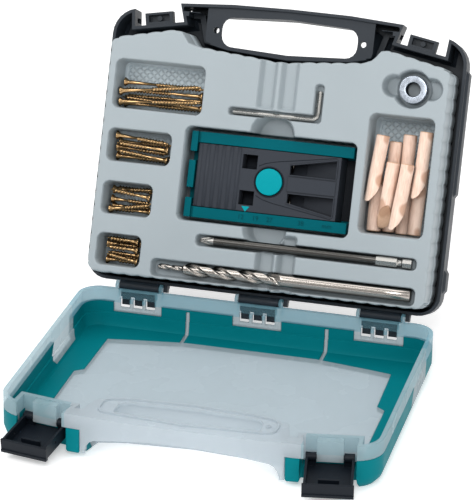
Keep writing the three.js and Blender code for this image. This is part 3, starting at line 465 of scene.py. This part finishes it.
def turned(stations, sides, shape=None, caps=True):
    """Points and faces of a body along local X, with a ring of points at each station (x, radius).

    shape(x, angle, radius) may return changed x and radius. Without caps both ends stay open.
    """
    angles = np.arange(sides) * 2 * np.pi / sides
    xs, radii = np.array(stations, float).T[:, :, None]
    x, r, a = np.broadcast_arrays(xs, radii, angles[None, :])
    if shape:
        x, r = shape(x, a, r)
    points = np.stack([x, r * np.cos(a), r * np.sin(a)], -1).reshape(-1, 3)
    faces = [quad[::-1] for quad in grid_faces(len(stations), sides, True)]
    if caps:
        last = len(stations) * sides - 1
        faces.append(tuple(range(sides)))
        faces.append(tuple(range(last, last - sides, -1)))
    return points, faces


def along(start, end, roll=0.0):
    """Rigid matrix whose X runs from start to end, both in millimetres in the case frame."""
    a, b = Vector(start), Vector(end)
    x = (b - a).normalized()
    up = Vector((0, 0, 1)) if abs(x.z) < 0.95 else Vector((0, 1, 0))
    y = up.cross(x).normalized()
    return CASE @ axes_matrix(x, y, x.cross(y), a * MM) @ Matrix.Rotation(roll, 4, "X")


def along_u(start):
    return along(start, (start[0] + 1, *start[1:]))


def along_w(start):
    return along(start, (*start[:2], start[2] + 1))


def smooth_step(x, low, high):
    t = np.clip((x - low) / (high - low), 0, 1)
    return t * t * (3 - 2 * t)


# ---- step drill: a thin pilot, then the fluted body and the plain shank ----
DRILL_START = (-70.3, 13.8, 19.3)
DRILL_R = 4.5
PILOT_R = 1.9
PILOT_LENGTH = 18
DRILL_LENGTH = 179.8
FLUTE_LEAD = 38.6
FLUTE_END = 90.0
FLUTE_FADE = 7
FLUTE_DEPTH = 0.52


def drill_shape(x, a, r):
    """Two flutes that wind round the body and run out before the shank; the pilot's wind twice as fast."""
    lead = np.where(x < PILOT_LENGTH + 0.4, FLUTE_LEAD * 0.5, FLUTE_LEAD)
    lobe = np.cos(2 * (a - 2 * np.pi * x / lead))
    fade = 1 - smooth_step(x, FLUTE_END - FLUTE_FADE, FLUTE_END)
    return x, r * (1 - FLUTE_DEPTH * smooth_step(lobe, -0.12, 0.45) * fade)


def drill_radius(x):
    """Radius behind the tip: the pilot, a short cone and the body."""
    return PILOT_R if x <= PILOT_LENGTH else min(DRILL_R, PILOT_R + (x - PILOT_LENGTH) * 1.7)


def build_drill():
    pilot = np.linspace(1.2, PILOT_LENGTH, 40)
    cone = np.linspace(PILOT_LENGTH + 0.1, PILOT_LENGTH + 1.6, 8)
    body = np.linspace(PILOT_LENGTH + 2, FLUTE_END, 210)
    stations = [(0.0, 0.25)]
    stations += [(x, drill_radius(x)) for x in np.concatenate([pilot, cone, body])]
    stations += [(x, DRILL_R) for x in (100, 130, 160, DRILL_LENGTH - 0.7)]
    stations += [(DRILL_LENGTH, DRILL_R - 0.6), (DRILL_LENGTH, 0.1)]
    points, faces = turned(stations, 56, drill_shape)
    new_piece("twist_drill", points, faces, along_u(DRILL_START), STEEL, "drill", ["step_drill"])


# ---- driver: a cross tip, a round rod and a hexagonal shank with a groove ----
DRIVER_START = (-42.2, 35.2, 20.1)
DRIVER_R = 3.1
HEX_APOTHEM = 3.175
HEX_CORNER = 1.16
HEX_START = 125.2
TIP_END = 10.5
# Radius of the stations that reach the hexagon, before its flats are cut.
HEX_STATION_R = 3.4
GROOVE_R = 2.6


def driver_shape(x, a, r):
    """Cuts the hexagon's flats behind HEX_START and four grooves into the tip."""
    hexagon = HEX_APOTHEM / np.cos((a + np.pi / 6) % (np.pi / 3) - np.pi / 6)
    is_hexagon = (x > HEX_START) & (r > GROOVE_R + 0.3)
    wing = np.abs(np.cos(2 * a)) ** 0.6
    tip = 1 - smooth_step(x, 4.5, TIP_END)
    grooved = r * (1 - tip * (1 - wing) * 0.55)
    return x, np.where(is_hexagon, np.minimum(hexagon, r * HEX_CORNER), grooved)


def build_driver():
    stations = [(0, 0.3), (0.2, 1.0), (1.5, 1.5), (3, 2.0), (4.5, 2.5), (6, 2.9)]
    stations += [(x, DRIVER_R) for x in (7, 8, 9, TIP_END, 12, 60, 110, 124.6, 125.3)]
    stations += [(126, HEX_STATION_R), (139.8, HEX_STATION_R), (140.4, GROOVE_R), (143.2, GROOVE_R)]
    stations += [(143.8, HEX_STATION_R), (149.2, HEX_STATION_R), (150, 3.0), (150, 0.1)]
    points, faces = turned(stations, 48, driver_shape)
    matrix = along_u(DRIVER_START)
    o = new_piece("cross_driver", points, faces, matrix, SATIN, "driver", ["driver_bit"])
    o.data.materials.append(BRIGHT)
    for polygon in o.data.polygons:
        x = polygon.center.x / MM
        if x < 10 or x > 125:
            polygon.material_index = 1
            polygon.use_smooth = x < 10 or 140 < x < 143


# ---- screws, which run from the tip at x = 0 to the head ----
SCREW_LENGTH = {"60mm": 58.6, "40mm": 38.4, "30mm": 29.6, "25mm": 23.6}
THREAD_PITCH = 2.3
THREAD_R = 2.05
THREAD_SHARE = 0.6
CORE_SHARE = 0.58
SHANK_R = 1.45
HEAD_R = 3.2
RECESS_R = 1.9
# A screw's two ends are told apart by their widths over this depth, in metres.
END_DEPTH = 0.001
TURN_PER_SCREW = 0.7


def screw_shape(length):
    """A winding thread over the front part of a screw and a cross recess in its head."""
    def shape(x, a, r):
        run_out = smooth_step(x, length * (THREAD_SHARE - 0.02), length * (THREAD_SHARE + 0.02))
        threaded = smooth_step(x, 1.0, 4.0) * (1 - run_out)
        phase = (x / THREAD_PITCH - a / (2 * np.pi)) % 1.0
        ridge = np.clip(1 - np.abs(phase - 0.5) / 0.28, 0, 1)
        core = r * CORE_SHARE
        grown = np.where(threaded > 0, core + (r - core) * ridge * threaded, r)
        in_recess = (x > length - 2.0) & (r < RECESS_R + 0.05)
        star = 0.45 + 0.55 * np.abs(np.cos(2 * a)) ** 3
        return x, np.where(in_recess, r * star, grown)

    return shape


def screw_mesh(length):
    thread_end = length * THREAD_SHARE
    stations = [(x, min(THREAD_R, 0.15 + x * 0.5)) for x in np.arange(0, thread_end, 0.3)]
    stations += [(thread_end + 0.3, SHANK_R), (length - 3.4, SHANK_R), (length - 2.8, SHANK_R + 0.15)]
    stations += [(length - 0.7, HEAD_R - 0.05), (length - 0.15, HEAD_R), (length, HEAD_R - 0.3)]
    stations += [(length, RECESS_R), (length - 1.4, 1.2), (length - 1.6, 0.1)]
    return turned(stations, 18, screw_shape(length))


def screw_axis(node):
    """Tip and direction of a CAD screw, from the long axis of its vertices; the wider end is its head."""
    points = np.array([v.co for v in frame["nodes"][node].data.vertices], float)
    centre = points.mean(0)
    offsets = points - centre
    axis = np.linalg.svd(offsets, full_matrices=False)[2][0]
    run = offsets @ axis
    widths = np.linalg.norm(offsets - np.outer(run, axis), axis=1)
    if widths[run < run.min() + END_DEPTH].max() > widths[run > run.max() - END_DEPTH].max():
        axis, run = -axis, -run
    return Vector(centre + axis * run.min()), Vector(axis)


def build_screws():
    for key, length in SCREW_LENGTH.items():
        points, faces = screw_mesh(length)
        names = sorted(n for n in frame["nodes"] if n.startswith("screw_" + key))
        for i, node in enumerate(names):
            tip, x = screw_axis(node)
            y = Vector((0, 0, 1)).cross(x).normalized()
            matrix = axes_matrix(x, y, x.cross(y), tip) @ Matrix.Rotation(TURN_PER_SCREW * i, 4, "X")
            name = f"screw_{key}_visual_{i + 1}"
            new_piece(name, points, faces, matrix, YELLOW, "screws_" + key, [node])


# ---- dowels ----
# Each row: flat end u and d, slanted end u and d, height w, roll of the slanted end in degrees.
DOWELS = [
    (75.4, 54.8, 75.4, 101.8, -4.3, 90),
    (94.3, 54.4, 94.3, 101.4, -4.3, 90),
    (75.6, 54.6, 75.2, 101.6, 5.2, 90),
    (84.8, 55, 84.8, 102, -4.3, 0),
    (104.4, 54.6, 105.4, 101.6, 5.2, -60),
    (94.4, 123.2, 94.3, 76.2, 5.2, 180),
    (77.2, 120.8, 73.4, 74, 14.7, -145),
    (86.4, 103, 83.5, 56.1, 14.7, -20),
    (107.2, 126, 105.2, 79.1, 14.7, -145),
    (97.2, 102.6, 93, 55.8, 18.9, -140),
    (85, 117.5, 85, 70.5, 5.2, 0),
]
DOWEL_R = 4.75
DOWEL_LENGTH = 47
DOWEL_CUT = 17
DOWEL_SEED = 7


def dowel_shape(phase):
    """A slightly uneven rod whose far end is cut off at a slant and a little torn."""
    def shape(x, a, r):
        slanted = DOWEL_LENGTH - DOWEL_CUT * (0.5 + r * np.sin(a) / (2 * DOWEL_R))
        torn = 0.25 * np.sin(7 * a + phase[0]) * np.sin(3 * r + phase[1])
        uneven = 1 - 0.02 * (1 + np.sin(x * 0.19 + phase[2]) * np.cos(2 * a + phase[3]))
        is_outside = r > DOWEL_R - 0.1
        return np.minimum(x, slanted - 0.25 + torn), r * np.where(is_outside, uneven, 1.0)

    return shape


def build_dowels():
    rng = np.random.default_rng(DOWEL_SEED)
    stations = [(0, 0.1), (0, 2.2), (0, DOWEL_R - 0.6)]
    stations += [(x, DOWEL_R) for x in np.linspace(0.6, DOWEL_LENGTH, 34)]
    stations += [(DOWEL_LENGTH, DOWEL_R * share) for share in (0.8, 0.6, 0.4, 0.2, 0.03)]
    for i, (u0, d0, u1, d1, w, roll) in enumerate(DOWELS):
        points, faces = turned(stations, 24, dowel_shape(rng.uniform(0, 6.28, 4)))
        matrix = along((u0, d0, w), (u1, d1, w), math.radians(roll))
        name, node = f"dowel_visual_{i + 1}", f"dowel_{i + 1}"
        o = new_piece(name, points, faces, matrix, WOOD, "dowels", [node])
        o.data.materials.append(END_GRAIN)
        for polygon in o.data.polygons:
            polygon.material_index = 1 if abs(polygon.normal.x) > 0.2 else 0


# ---- formed insert ----
INSERT_SIDE = 120.3
INSERT_REAR = 4.8
INSERT_DEPTH = 165
INSERT_RUN = 170
INSERT_MIDDLE = 90
INSERT_STEP = 0.52
REAR_CORNER_R = 9
FRONT_CORNER_R = 5
FRONT_CORNER_D = 163.4
EDGE_ROLL = 1.6
SKIRT_END = -16.0
SCALLOP_PITCH = 10.2
SCALLOP_DEPTH = 0.75
LATTICE_PITCH = 5.2
LATTICE_HEIGHT = 1.2
BIN_FLOOR = -1.7
DOWEL_BIN_FLOOR = -10.4
# Each pocket: low u, high u, low d, high d, corner radius, floor height, width of the soft wall.
BINS = [
    (-114.9, -50.6, 120.4, 154.8, 5, BIN_FLOOR, 2.0),
    (-114.9, -69.3, 83, 106.2, 5, BIN_FLOOR, 2.0),
    (-114.7, -78.8, 46, 69.2, 5, BIN_FLOOR, 2.0),
    (-114.6, -82.9, 10.2, 32.8, 5, BIN_FLOOR, 2.0),
    (68.2, 113.3, 52.6, 135, 5, DOWEL_BIN_FLOOR, 2.4),
]
POCKETS = [
    (-60, 61.8, 47.4, 113.2, 5, -10.0, 1.6),
    (-74.3, 112.7, 6.3, 19, 4, 13.2, 1.8),
    (-44.4, 111.5, 30.6, 39.3, 3.5, 15.6, 1.6),
    (-31.5, 34.4, 123.3, 129.5, 2.8, 17.4, 1.5),
    (27.9, 34.4, 123.3, 150.8, 2.8, 17.4, 1.5),
    (81.5, 108.3, 140.3, 167.1, 13.4, 9.8, 2.2),
    (74, 116, 146.8, 162.6, 7.8, 12.0, 2.6),
    (-14.1, 16.9, 97, 128, 15.4, 6.5, 5.0),
    (-12.2, 18.8, 32.3, 63.3, 15.4, 6.5, 5.0),
    (-12.5, 0.3, 129, 195, 3, 18.6, 4.0),
    (2.7, 15.5, 129, 195, 3, 18.6, 4.0),
    (-1, 12.5, -20, 45, 3, 16.2, 4.0),
    (14, 27.5, -20, 45, 3, 16.2, 4.0),
]


def front_edge(u):
    """Where the insert's front edge runs: hips at the handle's ends and a shallow curve between them."""
    across = [0, 45, 60, 64.5, 70.5, 76, 120.6]
    reach = [163.1, 167.0, 168.6, 170.4, 177.4, 178.4, 168.9]
    return np.interp(np.abs(u), across, reach)


def scallop(run):
    return SCALLOP_DEPTH * np.abs(np.sin(np.pi * run / SCALLOP_PITCH)) ** 0.7 - SCALLOP_DEPTH


def pocket_distance(u, d, pocket):
    """Distance to a pocket's rounded outline, negative inside it."""
    u0, u1, d0, d1, radius = pocket[:5]
    qu = np.abs(u - (u0 + u1) / 2) - (u1 - u0) / 2 + radius
    qd = np.abs(d - (d0 + d1) / 2) - (d1 - d0) / 2 + radius
    outside = np.hypot(np.maximum(qu, 0), np.maximum(qd, 0))
    return outside + np.minimum(np.maximum(qu, qd), 0) - radius


def lattice(u, d, pocket):
    """Raised diamonds on a bin's floor."""
    inside = smooth_step(-pocket_distance(u, d, pocket), 2.5, 4.0)
    diamonds = np.sin(np.pi * (u + d) / LATTICE_PITCH) * np.sin(np.pi * (u - d) / LATTICE_PITCH)
    return LATTICE_HEIGHT * inside * smooth_step(np.abs(diamonds), 0.10, 0.36)


def insert_height(u, d, edge_room):
    """Height of the sheet: its flat top, sunk into the pockets and rolled down along the outer edge."""
    height = np.full(u.shape, INSERT_TOP)
    for pocket in BINS + POCKETS:
        floor, wall = pocket[5:]
        soft = smooth_step(0.15 - pocket_distance(u, d, pocket) / wall, 0, 1)
        height = np.minimum(height, INSERT_TOP - (INSERT_TOP - floor) * soft)
    for pocket in BINS:
        height += lattice(u, d, pocket)
    lean = np.clip(1 - edge_room / EDGE_ROLL, 0, 1)
    return height - EDGE_ROLL * (1 - np.sqrt(1 - lean * lean))


def round_corner(u, d, centre_u, centre_d, radius):
    """Pulls points beyond a corner arc back on to it."""
    beyond_u = np.sign(centre_u) * (u - centre_u) > 0
    beyond_d = np.sign(centre_d - INSERT_MIDDLE) * (d - centre_d) > 0
    length = np.hypot(u - centre_u, d - centre_d)
    is_out = beyond_u & beyond_d & (length > radius)
    pull = np.where(is_out, radius / np.maximum(length, 1e-6), 1.0)
    return centre_u + (u - centre_u) * pull, centre_d + (d - centre_d) * pull


def insert_plan():
    """Grid of places (u, d) over the insert, and each one's room to the scalloped outer edge."""
    columns = np.linspace(-1, 1, int(2 * INSERT_SIDE / INSERT_STEP) + 1)
    rows = np.linspace(0, 1, int(INSERT_RUN / INSERT_STEP) + 1)
    across, deep = np.meshgrid(columns, rows, indexing="xy")
    side = INSERT_SIDE + scallop(deep * INSERT_RUN + 3)
    near_side = smooth_step(np.abs(across), 0.93, 1.0)
    u = across * (INSERT_SIDE + (side - INSERT_SIDE) * near_side)
    front = front_edge(u) + scallop(u + 4)
    rear = INSERT_REAR - scallop(u + 1)
    d = INSERT_REAR + INSERT_DEPTH * deep
    d += (rear - INSERT_REAR) * smooth_step(-deep, -0.04, 0.0)
    d += (front - INSERT_REAR - INSERT_DEPTH) * smooth_step(deep, 0.9, 1.0)
    for sign in (-1, 1):
        rear_corner = (sign * (INSERT_SIDE - REAR_CORNER_R), INSERT_REAR + REAR_CORNER_R)
        front_corner = (sign * (INSERT_SIDE - FRONT_CORNER_R), FRONT_CORNER_D)
        u, d = round_corner(u, d, *rear_corner, REAR_CORNER_R)
        u, d = round_corner(u, d, *front_corner, FRONT_CORNER_R)
    room = np.minimum(np.minimum(side - np.abs(u), d - rear), front - d)
    return u, d, np.maximum(room, 0)


def build_insert():
    u, d, room = insert_plan()
    height = insert_height(u, d, room)
    u, d = np.pad(u, 1, mode="edge"), np.pad(d, 1, mode="edge")
    w = np.pad(height, 1, constant_values=SKIRT_END)
    points = np.stack([u, d, w], -1).reshape(-1, 3)
    faces = grid_faces(*u.shape, False)
    new_piece("formed_insert", points, faces, CASE, INSERT, "dark_half", ["insert_tray"])


# ---- jig details ----
COLLAR_CENTRE = (95, 153.7)
BUTTON_U = 1.6
JIG_CENTRE_D = 80.2
JIG_TOP = 17.5
HEAD_TOP = JIG_TOP - 0.3
# How far flat pieces reach down into the part they lie on.
SUNK = 0.1


def slab(name, corners, low, high, material, body):
    """A flat piece with the given plan, between two heights in the case frame."""
    count = len(corners)
    points = [(u, d, w) for w in (low, high) for u, d in corners]
    faces = [tuple(range(count - 1, -1, -1)), tuple(range(count, 2 * count))]
    faces += [(i, (i + 1) % count, count + (i + 1) % count, count + i) for i in range(count)]
    o = new_piece(name, points, faces, CASE, material, body, smooth=False)
    break_edges(o, 0.15)


def head_slab(name, corners, rise, material=SLIDER):
    """A flat piece on the jig's head that stands up from it by a given rise."""
    slab(name, corners, HEAD_TOP - SUNK, HEAD_TOP + rise, material, "jig_head")


def band_between(start, end, width):
    """Plan corners of a straight band."""
    a, b = np.array(start, float), np.array(end, float)
    side = np.array([a[1] - b[1], b[0] - a[0]])
    side *= width / 2 / np.linalg.norm(side)
    return [tuple(a - side), tuple(b - side), tuple(b + side), tuple(a + side)]


def build_ribs():
    """Rounded grip ribs across the head's wide end."""
    start, pitch, ribs = -50.3, 2.76, 11
    us = start + np.linspace(0, ribs * pitch, ribs * 8 + 1)
    ridge = np.clip(np.sin(np.pi * (us - start) / pitch) * 1.5, 0, 1) ** 0.8
    raised = HEAD_TOP + 0.05 + 0.75 * ridge
    sunk = np.full(us.shape, HEAD_TOP - 0.02)
    rows = [(58.5, sunk), (58.9, raised), (101.5, raised), (101.9, sunk)]
    points = [(u, d, w) for d, heights in rows for u, w in zip(us, heights)]
    faces = grid_faces(len(rows), len(us), False)
    new_piece("head_ribs", points, faces, CASE, SLIDER, "jig_head")


def build_head_lines():
    """Lines and rims on the head, in places (u, distance from the jig's centre line), and its flat parts; the
    black wing lines are painted shade along the edge of the wing's raised panel.
    """
    wing = [(-7, 10.2), (-2, 12.6), (5.3, 14.4), (47.6, 21.2)]
    rim = [((15, 6.2), (48.3, 6.2)), ((15, 13.3), (48.3, 19.9)), ((48.3, 6.2), (48.3, 19.9))]
    for side, name in ((1, "upper"), (-1, "lower")):
        def band(ends, width):
            return band_between(*((u, JIG_CENTRE_D + side * off) for u, off in ends), width)

        for k, ends in enumerate(zip(wing, wing[1:])):
            # Black lines of painted shade along the edge of the wing's raised panel.
            head_slab(f"wing_edge_shade_{name}_{k + 1}", band(ends, 0.55), 0.06, BLACK)
        for k, ends in enumerate(rim):
            head_slab(f"trough_rim_{name}_{k + 1}", band(ends, 0.8), 0.5)
    head_slab("centre_bar", [(14.5, 75.2), (48.6, 75.2), (48.6, 85.2), (14.5, 85.2)], 0.45)
    head_slab("depth_arrow", [(-16.2, 61.8), (-13.1, 57.9), (-10.2, 61.8)], 0.25, BUTTON)


def build_button_ring():
    """A thin raised ring round the button."""
    points, faces = turned([(-0.2, 10.9), (0.12, 10.8), (0.12, 9.75), (-0.2, 9.7)], 48, caps=False)
    matrix = along_w((BUTTON_U, JIG_CENTRE_D, HEAD_TOP))
    new_piece("button_ring", points, faces, matrix, BLACK, "jig_head")


def build_bore_shade():
    """A thin dark sheet on the wall of the stop collar's bore: painted shade inside the bore."""
    points, faces = turned([(0.3, 5.06), (9.8, 5.06), (9.8, 4.95), (0.3, 4.95)], 40, caps=False)
    matrix = along_w((*COLLAR_CENTRE, 10.2))
    new_piece("collar_bore_shade_sheet", points, faces, matrix, BORE_SHADE, "collar")


def build_foot_and_shade_pad():
    """A dark plate under the head, on the floor of the jig's base: it stands for the slider's dark foot and
    is painted shade in the deep gap there.
    """
    pad = [(-51.6, 59), (58.4, 59), (58.4, 101.4), (-51.6, 101.4)]
    slab("foot_and_shade_pad", pad, -6.25, -5.95, BLACK, "jig_body")


# ---- scale: stop settings for common board thicknesses, with the unit at the end ----
SCALE_MARKS = {"12": -15.7, "19": -5.2, "27": 4.9, "38": 27, "mm": 45.5}
SCALE_D = 54.1
SCALE_SIZE = 4.6
SCALE_RISE = 0.06


def build_scale():
    for word, u in SCALE_MARKS.items():
        curve = bpy.data.curves.new("scale_" + word, "FONT")
        curve.body = word
        curve.size = SCALE_SIZE * MM
        curve.extrude = SCALE_RISE * MM
        curve.align_x = "CENTER"
        curve.align_y = "CENTER"
        text = bpy.data.objects.new("text", curve)
        mesh = bpy.data.meshes.new_from_object(text)
        bpy.data.objects.remove(text)
        matrix = CASE @ Matrix.Translation(Vector((u, SCALE_D, JIG_TOP + SCALE_RISE)) * MM)
        place_mesh("scale_mark_" + word, mesh, INK, matrix, "jig_body")


finish_shown_cad()
build_drill()
build_driver()
build_screws()
build_dowels()
build_insert()
build_ribs()
build_head_lines()
build_button_ring()
build_bore_shade()
build_foot_and_shade_pad()
build_scale()


# ================= stage, light, camera =================
STAGE_HALF = 8.0
STAGE_HEIGHT = -0.0002
SURROUNDING_LIGHT = 0.44
SEEN_BACKDROP = 0.95
LIGHT_TARGET = (0, 0.05, 0.08)
# Each light: name, place, size and power.
LIGHTS = [
    ("key", (-0.9, -1.1, 1.5), 1.0, 14),
    ("top", (0.1, 0.3, 2.0), 1.6, 17),
    ("fill", (1.5, -0.9, 0.9), 1.2, 5),
    ("front", (0.35, -1.5, 1.25), 0.6, 11),
]


def floor_material():
    """A pale floor that glows a little, so that it blends into the backdrop."""
    m = Nodes("pale_floor")
    fine = m.noise(m.coordinates(), 60.0)
    m.set("Base Color", m.mixed(fine, (0.93, 0.93, 0.93), (0.95, 0.95, 0.95)))
    m.set("Roughness", 0.9)
    m.set("Specular IOR Level", 0.1)
    m.set("Emission Color", (1, 1, 1))
    m.set("Emission Strength", 0.38)
    return m.material


def build_floor():
    corners = [(-1, -1), (1, -1), (1, 1), (-1, 1)]
    mesh = bpy.data.meshes.new("floor")
    mesh.from_pydata([(x * STAGE_HALF, y * STAGE_HALF, STAGE_HEIGHT) for x, y in corners], [], [(0, 1, 2, 3)])
    mesh.materials.append(floor_material())
    floor = bpy.data.objects.new("floor", mesh)
    bpy.context.scene.collection.objects.link(floor)


def area_light(name, place, size, power):
    data = bpy.data.lights.new(name, "AREA")
    data.energy = power
    data.size = size
    light = bpy.data.objects.new(name, data)
    light.location = place
    light.rotation_euler = (Vector(LIGHT_TARGET) - Vector(place)).to_track_quat("-Z", "Y").to_euler()
    bpy.context.scene.collection.objects.link(light)


def build_backdrop():
    """White surroundings, which look brighter to the camera than they light the object."""
    world = bpy.data.worlds.new("studio")
    world.use_nodes = True
    tree = world.node_tree
    surroundings = tree.nodes["Background"]
    surroundings.inputs["Color"].default_value = (1, 1, 1, 1)
    strength = tree.nodes.new("ShaderNodeMapRange")
    strength.inputs["To Min"].default_value = SURROUNDING_LIGHT
    strength.inputs["To Max"].default_value = SEEN_BACKDROP
    tree.links.new(tree.nodes.new("ShaderNodeLightPath").outputs["Is Camera Ray"], strength.inputs["Value"])
    tree.links.new(strength.outputs["Result"], surroundings.inputs["Strength"])
    bpy.context.scene.world = world


def build_light():
    for row in LIGHTS:
        area_light(*row)
    build_backdrop()
    bpy.context.scene.view_settings.view_transform = "Standard"


def build_camera():
    level = Vector((math.cos(AZIMUTH), math.sin(AZIMUTH), 0))
    away = Vector((math.sin(AZIMUTH), -math.cos(AZIMUTH), 0))
    back = away * math.cos(ELEVATION) + Vector((0, 0, math.sin(ELEVATION)))
    upright = back.cross(level)
    right = level * math.cos(ROLL) + upright * math.sin(ROLL)
    up = upright * math.cos(ROLL) - level * math.sin(ROLL)
    data = bpy.data.cameras.new("camera")
    data.lens = LENS_MM
    data.sensor_width = SENSOR_MM
    data.clip_end = FAR_LIMIT
    camera = bpy.data.objects.new("camera", data)
    place = RIM_CENTRE + back * DISTANCE + right * SHIFT_RIGHT + up * SHIFT_UP
    camera.matrix_world = axes_matrix(right, up, back, place)
    bpy.context.scene.collection.objects.link(camera)
    bpy.context.scene.camera = camera


build_floor()
build_light()
build_camera()
